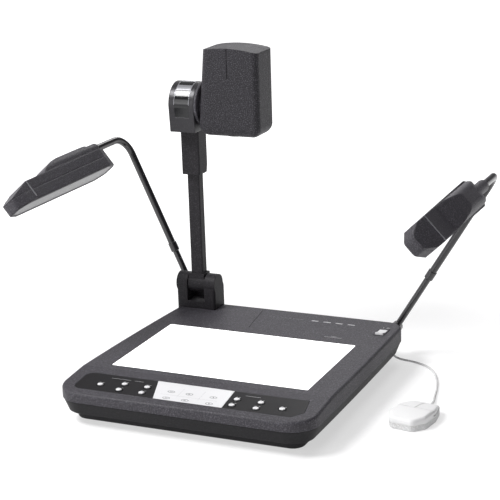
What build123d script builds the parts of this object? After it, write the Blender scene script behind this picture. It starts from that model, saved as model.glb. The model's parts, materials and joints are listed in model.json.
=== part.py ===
"""Document camera: lit stage base, folding column with a camera head, two side lamps, a mouse.

Millimetres, +Z up.  The origin is on the table under the middle of the lit stage.
+X runs to the user's right and the user sits on the -Y side.
"""
from build123d import *
import os
from math import acos, atan2, cos, hypot, pi, radians, sin, tan

os.makedirs("parts", exist_ok=True)

# ---------------------------------------------------------------- driving dimensions
# Base case
STAGE_W = 300.0            # lit panel, left to right
STAGE_D = 188.0            # lit panel, front to back
SIDE_MARGIN = 40.5         # case beyond the lit panel on each side, at the front
REAR_MARGIN = 116.0        # case behind the lit panel
FOLD_MARGIN = 14.0         # flat strip in front of the lit panel, up to the sloped panel
SLOPE_RUN = 84.5           # front to back length of the sloped control panel
SLOPE_ANGLE = 5.3          # degrees
TOP_Z = 57.8               # flat top above the table
PARTING_Z = 36.0           # joint line between the upper and lower case
STEP_Z = 17.0              # under the flank, where the plinth starts
FOOT_H = 4.0               # rubber feet
WALL = 2.5                 # moulded case wall
FLANK_TUCK = 8.0           # how far the flank tucks in from the joint line to the step
PLINTH_INSET = 20.0        # plinth behind the joint line
FRONT_CORNER = 38.0        # plan corner radii
REAR_CORNER = 26.0
LEFT_REAR_TAPER = 17.0     # the left side runs in towards the rear
RIGHT_REAR_TAPER = 4.0
EDGE_ROUND = 4.0           # rounding round the top edge
FIT = 0.2                  # gap round an inserted piece
RUN_FIT = 0.05             # radial running fit of a pin or shaft
CLEAR = 0.5                # gap between pieces that move past each other
HALF_W = STAGE_W / 2 + SIDE_MARGIN
REAR_Y = STAGE_D / 2 + REAR_MARGIN
FOLD_Y = -STAGE_D / 2 - FOLD_MARGIN
FRONT_Y = FOLD_Y - SLOPE_RUN
FRONT_Z = TOP_Z - SLOPE_RUN * tan(radians(SLOPE_ANGLE))

# Stage light box
PANEL_T = 3.0
TRAY_T = 1.6
TRAY_DEPTH = 28.0
TUBE_R = 4.0
TUBE_SPREAD = 92.0

# Control panel on the slope
STRIP_T = 1.5
STRIP_D = 50.0
STRIP_LEFT = -HALF_W + 22.5
STRIP_RIGHT = HALF_W - 18.5
STRIP_BACK_GAP = 18.5      # from the fold to the strip, down the slope
MEMBRANE_LEFT = STRIP_LEFT + 117.5
MEMBRANE_RIGHT = STRIP_RIGHT - 113.0
MEMBRANE_SLANT = 17.0
BUTTON_L = 8.5
BUTTON_W = 6.0
BUTTON_PROUD = 1.4
BUTTON_TRAVEL = 1.0
BUTTON_PAIRS_X = (STRIP_LEFT + 68.0, STRIP_LEFT + 103.0, STRIP_RIGHT - 102.0, STRIP_RIGHT - 67.0)
BUTTON_SINGLES_X = (STRIP_LEFT + 35.0, STRIP_RIGHT - 32.5)
BUTTON_ROW_BACK = 40.5     # rows measured from the fold down the slope
BUTTON_ROW_FRONT = 58.0
BUTTON_ROW_MID = 50.0

# Power rocker
ROCKER_X = HALF_W - 24.5
ROCKER_Y = REAR_Y - 51.0
ROCKER_W = 12.0
ROCKER_L = 22.0
BEZEL_W = ROCKER_W + 5.0
BEZEL_L = ROCKER_L + 9.0

# Column
HINGE_Y = REAR_Y - 20.0
HINGE_Z = TOP_Z + 38.2
COLUMN_X = -HALF_W + 45.0
POST_W = 20.0
POST_D = 16.0
KNUCKLE_W = POST_W + 8.0
KNUCKLE_R = 14.0
HINGE_PIN_R = 4.0
HUB_LEFT = COLUMN_X - KNUCKLE_W / 2 - 19.0
HUB_RIGHT = COLUMN_X + KNUCKLE_W / 2 + 18.5
HUB_FRONT = HINGE_Y - 15.4
HUB_FRONT_TOP = HINGE_Z + 2.0
HUB_LEDGE_Z = TOP_Z + 11.7
HUB_EAR_R = KNUCKLE_R + 2.0
POST_RISE = 207.0          # hinge to the top of the post
PAD_T = 1.6
SLEEVE_WALL = 3.4
TILT_RISE = 79.0           # top of the post to the tilt axis
TILT_R = 33.0
BLOCK_RISE = 40.0          # underside of the tilt block to the tilt axis
POST_TOP = HINGE_Z + POST_RISE
SLEEVE_W = POST_W + 2 * (PAD_T + SLEEVE_WALL)
SLEEVE_BOTTOM = POST_TOP - 30.0
TILT_Z = POST_TOP + TILT_RISE
BLOCK_BOTTOM = TILT_Z - BLOCK_RISE
BLOCK_LEFT = COLUMN_X - SLEEVE_W / 2 - 9.0
BLOCK_RIGHT = COLUMN_X + SLEEVE_W / 2 + 2.5
RING_W = 4.5
TILT_SHAFT_R = 8.0
BAND_LEFT = BLOCK_LEFT + 9.5
BAND_RIGHT = BLOCK_RIGHT - 8.0
BAND_T = 1.2

# Camera head
HEAD_FRONT = HINGE_Y - 33.0
HEAD_REAR = HINGE_Y + 27.0
HEAD_BOTTOM = TILT_Z - 44.0
HEAD_TOP = TILT_Z + 90.0
HEAD_LEFT_TOP = BLOCK_RIGHT + 17.0
HEAD_LEFT_BOTTOM = BLOCK_RIGHT + 5.0
HEAD_RIGHT = BLOCK_RIGHT + 106.0
HEAD_WALL = 2.2
HEAD_CORNER = 9.0
HEAD_REAR_ROUND = 16.0
LENS_R = 21.0

# Lamps
LAMP_PIVOT_Y = REAR_Y + 12.0
LAMP_PIVOT_Z = TOP_Z - 11.8
LAMP_PIVOT_X = {"left": -HALF_W + 28.5, "right": HALF_W - 22.5}
LAMP_LEAN = {"left": 24.3, "right": 31.6}
LAMP_SWIVEL = {"left": -6.0, "right": -0.5}
LAMP_TILT = {"left": 40.0, "right": 47.0}
LAMP_EYE_R = 8.5
LAMP_PIN_R = 3.0
ARM_LENGTH = 295.0         # pivot to the corner of the bend
ARM_R = 5.6
STUB_R = ARM_R - 0.7
LAMP_EYE_T = 2 * STUB_R + 1.2
STUB_LENGTH = 96.0
COLLAR_R = ARM_R + 1.2
COLLAR_L = 15.0
SPIGOT_R = ARM_R - 2.2
SPIGOT_L = 26.0
ARM_BEND = 30.0
ARM_RUN = 82.0             # corner of the bend to the rear end of the lamp
ARM_INSERT = 34.0          # tube inside the lamp neck
LAMP_L = 243.0
LAMP_W = 46.0
LAMP_NOSE_W = 42.0
LAMP_RIM_Z = -39.5         # heights measured from the tube's axis
LAMP_SEAM_Z = -23.0
LAMP_TOP_Z = -8.0
LAMP_DOME_Z = 9.0
LAMP_DOME_START = 38.0
LAMP_DOME_FLAT = LAMP_L - 143.0
LAMP_DOME_END = LAMP_L - 83.0
LAMP_DOME_W = LAMP_W - 6.0
LAMP_CAP_START = LAMP_L - 38.0
LAMP_END_CUT = 10.0
LAMP_END_RUN = 22.0
LAMP_CORNER = 8.0
LAMP_WALL = 2.0
NECK_R = ARM_R + 3.4

# Mouse and its cord
MOUSE_X = 273.7
MOUSE_Y = -14.2
MOUSE_L = 78.0
MOUSE_W = 57.0
MOUSE_H = 18.5
MOUSE_TURN = -9.0
MOUSE_SEAM_Z = 8.0
MOUSE_WALL = 1.8
CORD_D = 3.5
PANEL_Y = REAR_Y - 11.0
PANEL_LEFT = HUB_RIGHT + 43.0
PANEL_RIGHT = HALF_W - 45.5
PANEL_Z0 = 15.0
PANEL_Z1 = TOP_Z - 10.8
REAR_PANEL_T = 2.0
INLET_X = PANEL_LEFT + 22.0
SOCKET_X = PANEL_RIGHT - 17.0
SOCKET_Z = 27.0
SOCKET_R = 6.0

# ---------------------------------------------------------------- derived places
SLOPE = Plane(
    origin=(0, FOLD_Y, TOP_Z),
    x_dir=(1, 0, 0),
    z_dir=(0, -sin(radians(SLOPE_ANGLE)), cos(radians(SLOPE_ANGLE))),
)
LOW = (Align.CENTER, Align.CENTER, Align.MIN)
PARTS = {}


# ---------------------------------------------------------------- small helpers
def slab(x0, x1, y0, y1, z0, z1):
    """A box from its two corners."""
    centre = Pos((x0 + x1) / 2, (y0 + y1) / 2, (z0 + z1) / 2)
    return centre * Box(x1 - x0, y1 - y0, z1 - z0)


def rod(start, end, radius, bore=0.0):
    """A round bar from start to end, or a tube when it has a bore."""
    axis = Vector(*end) - Vector(*start)
    place = Plane(origin=start, z_dir=axis)
    bar = place * Cylinder(radius, axis.length, align=LOW)
    if bore:
        bar -= place * Cylinder(bore, axis.length, align=LOW)
    return bar


def x_rod(x0, x1, y, z, radius, bore=0.0):
    """A round bar along X."""
    return rod((x0, y, z), (x1, y, z), radius, bore)


def y_rod(y0, y1, x, z, radius, bore=0.0):
    """A round bar along Y."""
    return rod((x, y0, z), (x, y1, z), radius, bore)


def save(name, shape):
    """Keep a finished piece under its own name."""
    PARTS[name] = shape
    export_step(shape, f"parts/{name}.step")


# ---------------------------------------------------------------- base case
def case_plan(inset=0.0):
    """The outline of the case seen from above, set in by a margin."""
    rear_left = -HALF_W + LEFT_REAR_TAPER
    rear_right = HALF_W - RIGHT_REAR_TAPER
    mid_left = -HALF_W + 0.28 * LEFT_REAR_TAPER
    edges = [
        Line((-HALF_W, FRONT_Y), (HALF_W, FRONT_Y)),
        ThreePointArc((HALF_W, FRONT_Y), (HALF_W, 0), (rear_right, REAR_Y)),
        Line((rear_right, REAR_Y), (rear_left, REAR_Y)),
        ThreePointArc((rear_left, REAR_Y), (mid_left, 20), (-HALF_W, FRONT_Y)),
    ]
    plan = make_face(Curve() + edges)
    plan = fillet(plan.vertices().group_by(Axis.Y)[0], FRONT_CORNER)
    plan = fillet(plan.vertices().group_by(Axis.Y)[-1], REAR_CORNER)
    if inset:
        plan = offset(plan, -inset)
    return plan


def top_profile(drop, bottom):
    """The side view of the case, lowered by a wall, as a prism across the case."""
    outline = Polyline(
        (FRONT_Y - 20, bottom),
        (REAR_Y + 20, bottom),
        (REAR_Y + 20, TOP_Z - drop),
        (FOLD_Y, TOP_Z - drop),
        (FRONT_Y - 20, TOP_Z - drop - (SLOPE_RUN + 20) * tan(radians(SLOPE_ANGLE))),
        close=True,
    )
    return extrude(Plane.YZ * make_face(outline), HALF_W + 20, both=True)


def strip_face(grow=0.0):
    """The control strip's outline on the slope: round at the left, cut at the right."""
    back = -STRIP_BACK_GAP
    front = back - STRIP_D
    outline = Polyline(
        (STRIP_LEFT, front),
        (STRIP_RIGHT - 14, front),
        (STRIP_RIGHT, front + 16),
        (STRIP_RIGHT - 6, back),
        (STRIP_LEFT, back),
        close=True,
    )
    face = make_face(outline)
    face = fillet(face.vertices().group_by(Axis.X)[0], 12)
    return offset(face, grow) if grow else face


def membrane_face(grow=0.0):
    """The white key panel in the middle of the strip, with a slanted left side."""
    back = -STRIP_BACK_GAP + 1
    front = back - STRIP_D - 2
    outline = Polyline(
        (MEMBRANE_LEFT - MEMBRANE_SLANT / 2 - grow, back),
        (MEMBRANE_LEFT + MEMBRANE_SLANT / 2 - grow, front),
        (MEMBRANE_RIGHT + 1 + grow, front),
        (MEMBRANE_RIGHT - 2 + grow, back),
        close=True,
    )
    return make_face(outline)


def button_spots():
    """Name and slope position of every push button."""
    spots = []
    for number, x in enumerate(BUTTON_PAIRS_X, 1):
        spots.append((f"button_{number}_rear", x, -BUTTON_ROW_BACK))
        spots.append((f"button_{number}_front", x, -BUTTON_ROW_FRONT))
    for side, x in zip(("left", "right"), BUTTON_SINGLES_X):
        spots.append((f"button_{side}_end", x, -BUTTON_ROW_MID))
    return spots


def button_hole(x, y, grow, z0, z1):
    """An oval prism on the slope, for a button or the hole round it."""
    oval = SlotOverall(BUTTON_L + 2 * grow, BUTTON_W + 2 * grow)
    return SLOPE * Pos(x, y, z0) * extrude(oval, z1 - z0)


SCREW_SPOTS = [
    (-HALF_W + 32.5, FOLD_Y - 12), (HALF_W - 32.5, FOLD_Y - 12),
    (-STAGE_W / 2 - 7.5, 20), (STAGE_W / 2 + 11, 60),
    (HUB_RIGHT + 18, REAR_Y - 38), (PANEL_RIGHT - 75, REAR_Y - 38),
]


def upper_case():
    """The top moulding: flat top, sloped panel, stage window, wells and screw bosses."""
    outer = extrude(case_plan(), TOP_Z + 5) & top_profile(0, PARTING_Z)
    rim = [
        edge for edge in outer.edges()
        if edge.center().Z > FRONT_Z - 1 and abs(edge.center().Y - FOLD_Y) > 1
    ]
    outer = fillet(rim, EDGE_ROUND)
    inner = extrude(case_plan(WALL), TOP_Z) & top_profile(WALL, PARTING_Z - 1)
    case = outer - inner
    inside = extrude(case_plan(WALL), TOP_Z) & top_profile(WALL - 0.5, 0)
    for x, y in SCREW_SPOTS:
        case += inside & (Pos(x, y, PARTING_Z - 20) * Cylinder(4.5, 60, align=LOW))
    case += inside & (SLOPE * Pos(0, 0, -STRIP_T - WALL) * extrude(strip_face(4), WALL))
    case -= slab(-STAGE_W / 2 - FIT, STAGE_W / 2 + FIT, -STAGE_D / 2 - FIT,
                 STAGE_D / 2 + FIT, PARTING_Z, TOP_Z + 1)
    case -= SLOPE * Pos(0, 0, -STRIP_T) * extrude(strip_face(FIT), STRIP_T + 10)
    for _, x, y in button_spots():
        case -= button_hole(x, y, CLEAR, -8, 2)
    case -= slab(ROCKER_X - BEZEL_W / 2 - FIT, ROCKER_X + BEZEL_W / 2 + FIT,
                 ROCKER_Y - BEZEL_L / 2 - FIT, ROCKER_Y + BEZEL_L / 2 + FIT,
                 PARTING_Z, TOP_Z + 1)
    case -= slab(PANEL_LEFT - FIT, PANEL_RIGHT + FIT, PANEL_Y - FIT, REAR_Y + 5,
                 PARTING_Z - 5, PANEL_Z1 + FIT)
    case -= slab(-HALF_W - 5, HUB_RIGHT + FIT, HUB_FRONT - FIT, REAR_Y + 5,
                 PARTING_Z - 5, TOP_Z + 5)
    case -= y_rod(REAR_Y - 40, REAR_Y + 5, LAMP_PIVOT_X["right"], LAMP_PIVOT_Z,
                  LAMP_EYE_R + FIT)
    for x, y in SCREW_SPOTS:
        case -= Pos(x, y, PARTING_Z - 21) * Cylinder(1.5, 30, align=LOW)
    return case


def lower_case():
    """The bottom moulding: tucked-in flank, step, plinth and floor."""
    flank = loft([
        Pos(0, 0, STEP_Z) * case_plan(FLANK_TUCK),
        Pos(0, 0, PARTING_Z - 0.4) * case_plan(0.8),
    ])
    plinth = Pos(0, 0, FOOT_H) * extrude(case_plan(PLINTH_INSET), STEP_Z - FOOT_H + 1)
    plinth = fillet(plinth.edges().group_by(Axis.Z)[0], 4)
    case = flank + plinth
    case -= Pos(0, 0, FOOT_H + WALL) * extrude(case_plan(PLINTH_INSET + WALL), 60)
    case -= Pos(0, 0, STEP_Z + WALL) * extrude(case_plan(FLANK_TUCK + WALL), 60)
    case -= slab(PANEL_LEFT - FIT, PANEL_RIGHT + FIT, PANEL_Y - FIT, REAR_Y + 5,
                 PANEL_Z0 - FIT + 4, PARTING_Z + 5)
    for x, y in SCREW_SPOTS:
        case -= Pos(x, y, 0) * Cylinder(1.7, 20, align=LOW)
        case -= Pos(x, y, 0) * Cylinder(3.2, FOOT_H + 1.2, align=LOW)
    return case


def case_screws():
    """Six long screws from the floor up into the bosses of the upper case."""
    screws = []
    for x, y in SCREW_SPOTS:
        shank = Pos(x, y, FOOT_H + 1) * Cylinder(1.5, 36, align=LOW)
        head = Pos(x, y, FOOT_H - 1) * Cylinder(2.9, 2.2, align=LOW)
        screws.append(shank + head)
    return Compound(children=screws)


def rubber_feet():
    """Four corner feet and a wide centre foot under the stage."""
    feet = [Cylinder(18, FOOT_H, align=LOW)]
    for x in (-STAGE_W / 2 + 32, STAGE_W / 2 - 32):
        for y in (FRONT_Y + 44.5, REAR_Y - 60):
            feet.append(Pos(x, y, 0) * Cylinder(13, FOOT_H, align=LOW))
    return Compound(children=feet)


# ---------------------------------------------------------------- lit stage
PANEL_TOP = TOP_Z - 0.4
PANEL_UNDER = PANEL_TOP - PANEL_T
TRAY_FLOOR = PANEL_UNDER - TRAY_DEPTH


def stage_panel():
    """Opal sheet, flush in the window and resting on the light tray's rim."""
    sheet = slab(-STAGE_W / 2, STAGE_W / 2, -STAGE_D / 2, STAGE_D / 2, PANEL_UNDER, PANEL_TOP)
    return fillet(sheet.edges().filter_by(Axis.Z), 3)


def light_tray():
    """White reflector tray on four legs, under the stage panel."""
    half_x = STAGE_W / 2 + 2
    half_y = STAGE_D / 2 + 2
    tray = slab(-half_x, half_x, -half_y, half_y, TRAY_FLOOR, PANEL_UNDER)
    tray -= slab(-half_x + 4, half_x - 4, -half_y + 4, half_y - 4,
                 TRAY_FLOOR + TRAY_T, PANEL_UNDER + 1)
    leg_height = TRAY_FLOOR - FOOT_H - WALL
    for x in (-STAGE_W / 2 + 30, STAGE_W / 2 - 30):
        for y in (-STAGE_D / 2 + 24, STAGE_D / 2 - 24):
            tray += Pos(x, y, FOOT_H + WALL) * Cylinder(4, leg_height, align=LOW)
    return tray


def stage_tubes():
    """Two fluorescent tubes with end caps, lying in the light tray."""
    z = TRAY_FLOOR + TRAY_T + TUBE_R + 1
    reach = STAGE_W / 2 - 12
    tubes = []
    for y in (-TUBE_SPREAD / 2, TUBE_SPREAD / 2):
        tube = x_rod(-reach, reach, y, z, TUBE_R)
        for x0, x1 in ((-reach - 10, -reach), (reach, reach + 10)):
            tube += slab(x0, x1, y - 6, y + 6, TRAY_FLOOR + TRAY_T, z + 6)
        tubes.append(tube)
    return Compound(children=tubes)


# ---------------------------------------------------------------- control panel
MEMBRANE_T = 0.6
FLANGE_TOP = -STRIP_T - WALL - 0.2
FLANGE_T = 1.2
STEM = 0.9
BOARD_TOP = FLANGE_TOP - FLANGE_T - STEM - BUTTON_TRAVEL - 2.6


def control_inlay():
    """Dark strip let into the slope, with a shallow bed for the key panel."""
    inlay = SLOPE * Pos(0, 0, -STRIP_T) * extrude(strip_face(), STRIP_T)
    inlay -= SLOPE * Pos(0, 0, -MEMBRANE_T) * extrude(membrane_face(0.1), STRIP_T)
    for _, x, y in button_spots():
        inlay -= button_hole(x, y, CLEAR, -8, 2)
    return inlay


def membrane_panel():
    """White key panel, flush in its bed."""
    face = strip_face() & membrane_face()
    return SLOPE * Pos(0, 0, -MEMBRANE_T) * extrude(face, MEMBRANE_T + 0.1)


def push_button(x, y):
    """An oval cap with a flange under the case and a stem over its switch."""
    cap = button_hole(x, y, 0, FLANGE_TOP - FLANGE_T, BUTTON_PROUD)
    cap = fillet(cap.faces().sort_by(Axis.Z)[-1].edges(), 0.8)
    cap += button_hole(x, y, 1.5, FLANGE_TOP - FLANGE_T, FLANGE_TOP)
    stem_low = FLANGE_TOP - FLANGE_T - STEM
    cap += SLOPE * Pos(x, y, stem_low) * Cylinder(1.5, STEM + 0.1, align=LOW)
    return cap


def key_board():
    """Circuit board behind the control strip, with one low switch under each button."""
    middle = (STRIP_LEFT + STRIP_RIGHT) / 2 + 1
    length = STRIP_RIGHT - STRIP_LEFT - 40
    board = SLOPE * Pos(middle, -50, BOARD_TOP - 1.6) * Box(length, 34, 1.6, align=LOW)
    for _, x, y in button_spots():
        board += SLOPE * Pos(x, y, BOARD_TOP) * Box(6, 6, 1.6, align=LOW)
        board += SLOPE * Pos(x, y, BOARD_TOP) * Cylinder(1.6, 2.5, align=LOW)
    return board


# ---------------------------------------------------------------- power rocker
ROCKER_PIVOT_Z = TOP_Z - 4.0
ROCKER_SWING = 7.0


def rocker_bezel():
    """Frame and box of the power switch, dropped into the top of the case."""
    bezel = slab(ROCKER_X - BEZEL_W / 2, ROCKER_X + BEZEL_W / 2,
                 ROCKER_Y - BEZEL_L / 2, ROCKER_Y + BEZEL_L / 2, TOP_Z - 18, TOP_Z + 0.6)
    bezel -= slab(ROCKER_X - ROCKER_W / 2 - CLEAR, ROCKER_X + ROCKER_W / 2 + CLEAR,
                  ROCKER_Y - ROCKER_L / 2 - 1.2, ROCKER_Y + ROCKER_L / 2 + 1.2,
                  TOP_Z - 15, TOP_Z + 1)
    return bezel


def rocker():
    """Rocking key with a shallow V top, at rest on its rear half."""
    outline = Polyline(
        (ROCKER_Y - ROCKER_L / 2, TOP_Z - 5),
        (ROCKER_Y - ROCKER_L / 2, TOP_Z + 1.6),
        (ROCKER_Y, TOP_Z + 0.4),
        (ROCKER_Y + ROCKER_L / 2, TOP_Z + 1.6),
        (ROCKER_Y + ROCKER_L / 2, TOP_Z - 5),
        (ROCKER_Y, TOP_Z - 10),
        close=True,
    )
    key = extrude(Plane.YZ * make_face(outline), ROCKER_W / 2, both=True)
    key = Pos(ROCKER_X, 0, 0) * key
    pivot = Axis((ROCKER_X, ROCKER_Y, ROCKER_PIVOT_Z), (1, 0, 0))
    return key.rotate(pivot, -ROCKER_SWING)


# ---------------------------------------------------------------- inside the base
def main_board():
    """Video circuit board on four standoffs, with its larger chips."""
    floor = FOOT_H + WALL
    near = STAGE_D / 2 + 14
    far = REAR_Y - 44
    board = slab(-60, 60, near, far, floor + 6, floor + 7.6)
    for x, y in ((-54, near + 5), (-54, far - 6), (54, near + 5), (54, far - 6)):
        board += Pos(x, y, floor) * Cylinder(2.5, 6, align=LOW)
    for x, y, size in ((-25, near + 22, 22), (15, near + 32, 16), (40, near + 17, 12)):
        board += Pos(x, y, floor + 7.6) * Box(size, size, 3, align=LOW)
    return board


def power_supply():
    """Boxed mains supply between the inlet and the tubes."""
    floor = FOOT_H + WALL
    supply = slab(PANEL_RIGHT - 63, PANEL_RIGHT + 5, STAGE_D / 2 + 14, PANEL_Y - 13,
                  floor, floor + 26)
    return chamfer(supply.edges().filter_by(Axis.Z), 2)


def rear_panel():
    """Connector panel with holes for the inlet, video jacks and mouse plug."""
    panel = slab(PANEL_LEFT, PANEL_RIGHT, PANEL_Y, PANEL_Y + REAR_PANEL_T,
                 PANEL_Z0 + 4, PANEL_Z1)
    for x in (INLET_X + 28, INLET_X + 48, INLET_X + 68):
        panel += y_rod(PANEL_Y + REAR_PANEL_T, PANEL_Y + 9, x, 36, 4.5)
        panel -= y_rod(PANEL_Y + REAR_PANEL_T + 1, PANEL_Y + 10, x, 36, 1.6)
    port = INLET_X + 88
    panel += slab(port, port + 32, PANEL_Y + REAR_PANEL_T, PANEL_Y + 7, 29, 41)
    panel -= slab(port + 3, port + 29, PANEL_Y + 4, PANEL_Y + 8, 31.5, 38.5)
    panel -= slab(INLET_X - 14, INLET_X + 14, PANEL_Y - 1, PANEL_Y + 3, 23, 43)
    panel -= y_rod(PANEL_Y - 1, PANEL_Y + 3, SOCKET_X, SOCKET_Z, SOCKET_R - 1.5 + FIT)
    return panel


def mains_inlet():
    """Appliance inlet with three pins in a recessed mouth."""
    body = slab(INLET_X - 13.8, INLET_X + 13.8, PANEL_Y - 18, PANEL_Y + 3, 23.2, 42.8)
    body -= slab(INLET_X - 11.5, INLET_X + 11.5, PANEL_Y - 14, PANEL_Y + 4, 25.5, 40.5)
    for x, z in ((INLET_X, 36), (INLET_X - 6, 31), (INLET_X + 6, 31)):
        body += slab(x - 1, x + 1, PANEL_Y - 15, PANEL_Y - 5, z - 2, z + 2)
    return body


# ---------------------------------------------------------------- column hub and post
HUB_REAR = REAR_Y - 1.0
SLOT_LEFT = COLUMN_X - KNUCKLE_W / 2 - CLEAR
SLOT_RIGHT = COLUMN_X + KNUCKLE_W / 2 + CLEAR


def column_hub():
    """Corner block with two hinge ears and an open front for the folded post."""
    side = Polyline(
        (HUB_FRONT, PARTING_Z + 0.2),
        (HUB_REAR, PARTING_Z + 0.2),
        (HUB_REAR, HINGE_Z - 6),
        (HINGE_Y + HUB_EAR_R, HINGE_Z),
        (HINGE_Y - HUB_EAR_R + 4, HUB_FRONT_TOP),
        (HUB_FRONT, HUB_FRONT_TOP - 3),
        close=True,
    )
    hub = extrude(Plane.YZ * make_face(side), HUB_RIGHT - HUB_LEFT)
    hub = Pos(HUB_LEFT, 0, 0) * hub
    hub = fillet(hub.edges().filter_by(Axis.Z).group_by(Axis.Y)[0], 4)
    hub += x_rod(HUB_LEFT, HUB_RIGHT, HINGE_Y, HINGE_Z, HUB_EAR_R)
    hub -= slab(SLOT_LEFT, SLOT_RIGHT, HUB_FRONT - 5, HUB_REAR - 6, HUB_LEDGE_Z, 140)
    hub -= slab(SLOT_LEFT, SLOT_RIGHT, HUB_REAR - 7, HUB_REAR + 5, HINGE_Z - 16, 140)
    hub -= slab(HUB_LEFT + 8, HUB_RIGHT - 8, HUB_FRONT + 8, HUB_REAR - 12,
                PARTING_Z - 1, TOP_Z - 8)
    hub -= x_rod(HUB_LEFT - 1, HUB_RIGHT - 6, HINGE_Y, HINGE_Z, HINGE_PIN_R)
    hub -= y_rod(HUB_REAR - 12, HUB_REAR + 5, LAMP_PIVOT_X["left"], LAMP_PIVOT_Z,
                 LAMP_EYE_R + FIT)
    return hub


def hinge_pin():
    """Column hinge pin, pushed in from the left and fast in the ears."""
    return x_rod(HUB_LEFT + 0.5, HUB_RIGHT - 6, HINGE_Y, HINGE_Z, HINGE_PIN_R)


def post_section(grow=0.0):
    """The post's rounded rectangular section."""
    return RectangleRounded(POST_W + 2 * grow, POST_D + 2 * grow, 2)


def column_post():
    """Hinge knuckle with the tall post standing in it."""
    knuckle = x_rod(COLUMN_X - KNUCKLE_W / 2, COLUMN_X + KNUCKLE_W / 2, HINGE_Y, HINGE_Z,
                    KNUCKLE_R)
    neck = slab(COLUMN_X - KNUCKLE_W / 2 + 1, COLUMN_X + KNUCKLE_W / 2 - 1,
                HINGE_Y - 11, HINGE_Y + 11, HINGE_Z, HINGE_Z + 17)
    rise = POST_TOP - HINGE_Z
    post = Pos(COLUMN_X, HINGE_Y, HINGE_Z) * extrude(post_section(), rise)
    bore = Pos(COLUMN_X, HINGE_Y, HINGE_Z + 22) * extrude(post_section(-2), rise)
    hole = x_rod(COLUMN_X - KNUCKLE_W, COLUMN_X + KNUCKLE_W, HINGE_Y, HINGE_Z,
                 HINGE_PIN_R + RUN_FIT)
    return knuckle + neck + post - bore - hole


# ---------------------------------------------------------------- sleeve and tilt block
SLEEVE_SOCKET = 8.0
BLOCK_FOOT_HALF = SLEEVE_W / 2 + 15.0
BLOCK_BORE_R = TILT_R - 4.0
END_WALL = 3.5
BAND_LOW_Z = TILT_Z - 17.0


def column_sleeve():
    """Square sleeve that slides on the post, cut back at its lower rear edge."""
    length = BLOCK_BOTTOM + SLEEVE_SOCKET - SLEEVE_BOTTOM
    outer = extrude(RectangleRounded(SLEEVE_W, SLEEVE_W, 2.5), length)
    bore = Pos(0, 0, -1) * extrude(post_section(PAD_T), length + 2)
    sleeve = Pos(COLUMN_X, HINGE_Y, SLEEVE_BOTTOM) * (outer - bore)
    rear = HINGE_Y + SLEEVE_W / 2
    cut = make_face(Polyline((rear + 1, SLEEVE_BOTTOM - 1), (rear - 4.5, SLEEVE_BOTTOM - 1),
                             (rear + 1, SLEEVE_BOTTOM + 27), close=True))
    return sleeve - Pos(COLUMN_X, 0, 0) * extrude(Plane.YZ * cut, SLEEVE_W, both=True)


def glide_liner():
    """Plastic liner in the sleeve's mouth, a sliding fit on the post."""
    liner = extrude(post_section(PAD_T), 24) - extrude(post_section(0.1), 24)
    return Pos(COLUMN_X, HINGE_Y, SLEEVE_BOTTOM + 1) * liner


def block_side(inset=0.0):
    """Side view of the tilt block: a round head on a tapering foot."""
    foot = BLOCK_BOTTOM - TILT_Z
    half = BLOCK_FOOT_HALF
    turn = atan2(foot, half) + acos(TILT_R / hypot(half, foot))
    touch = (TILT_R * cos(turn), TILT_R * sin(turn))
    edges = [
        Line((-half, foot), (half, foot)),
        Line((half, foot), touch),
        ThreePointArc(touch, (0, TILT_R), (-touch[0], touch[1])),
        Line((-touch[0], touch[1]), (-half, foot)),
    ]
    side = make_face(Curve() + edges)
    if inset:
        side = offset(side, -inset)
    return Plane.YZ * Pos(HINGE_Y, TILT_Z) * side


def tilt_block():
    """Housing of the tilt hinge, fixed on the sleeve, open on the right."""
    block = Pos(BLOCK_LEFT, 0, 0) * extrude(block_side(), BLOCK_RIGHT - BLOCK_LEFT)
    block -= x_rod(BLOCK_LEFT + END_WALL, BLOCK_RIGHT + 1, HINGE_Y, TILT_Z, BLOCK_BORE_R)
    socket = extrude(RectangleRounded(SLEEVE_W, SLEEVE_W, 2.5), SLEEVE_SOCKET + 1)
    block -= Pos(COLUMN_X, HINGE_Y, BLOCK_BOTTOM - 1) * socket
    block -= Pos(COLUMN_X, HINGE_Y, BLOCK_BOTTOM) * extrude(post_section(1), 45)
    return block - block_band(0.05)


def block_band(grow=0.0):
    """Gloss black band that wraps over the top of the tilt block."""
    width = BAND_RIGHT - BAND_LEFT + 2 * grow
    band = extrude(block_side(), width) - extrude(block_side(BAND_T + grow), width)
    above = slab(-300, 300, HINGE_Y - 60, HINGE_Y + 60, BAND_LOW_Z - grow, TILT_Z + 60)
    return Pos(BAND_LEFT - grow, 0, 0) * band & above


def tilt_bearings():
    """Two plain bearing discs in the block's bore."""
    discs = []
    for x in (BLOCK_LEFT + END_WALL + 1, BLOCK_RIGHT - 9):
        discs.append(x_rod(x, x + 8, HINGE_Y, TILT_Z, BLOCK_BORE_R, TILT_SHAFT_R + RUN_FIT))
    return Compound(children=discs)


# ---------------------------------------------------------------- camera head
HEAD_X = HEAD_RIGHT - 46.0
LENS_Y = HINGE_Y - 4.0
HEAD_SPLIT_Y = HINGE_Y + 7.0
FLANGE_X = HEAD_LEFT_TOP + 2.0


def head_outline(inset=0.0):
    """Front view of the head: left side leans in, crowned top."""
    low = HEAD_BOTTOM + inset
    high = HEAD_TOP - 3 - inset
    left_low = HEAD_LEFT_BOTTOM + inset
    left_high = HEAD_LEFT_TOP + inset
    right = HEAD_RIGHT - inset
    crown = ThreePointArc((left_high, high), (HEAD_X, high + 3), (right, high - 3))
    rest = Polyline((right, high - 3), (right, low), (left_low, low), (left_high, high))
    return Plane.XZ * make_face(Curve() + [crown, rest])


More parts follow.
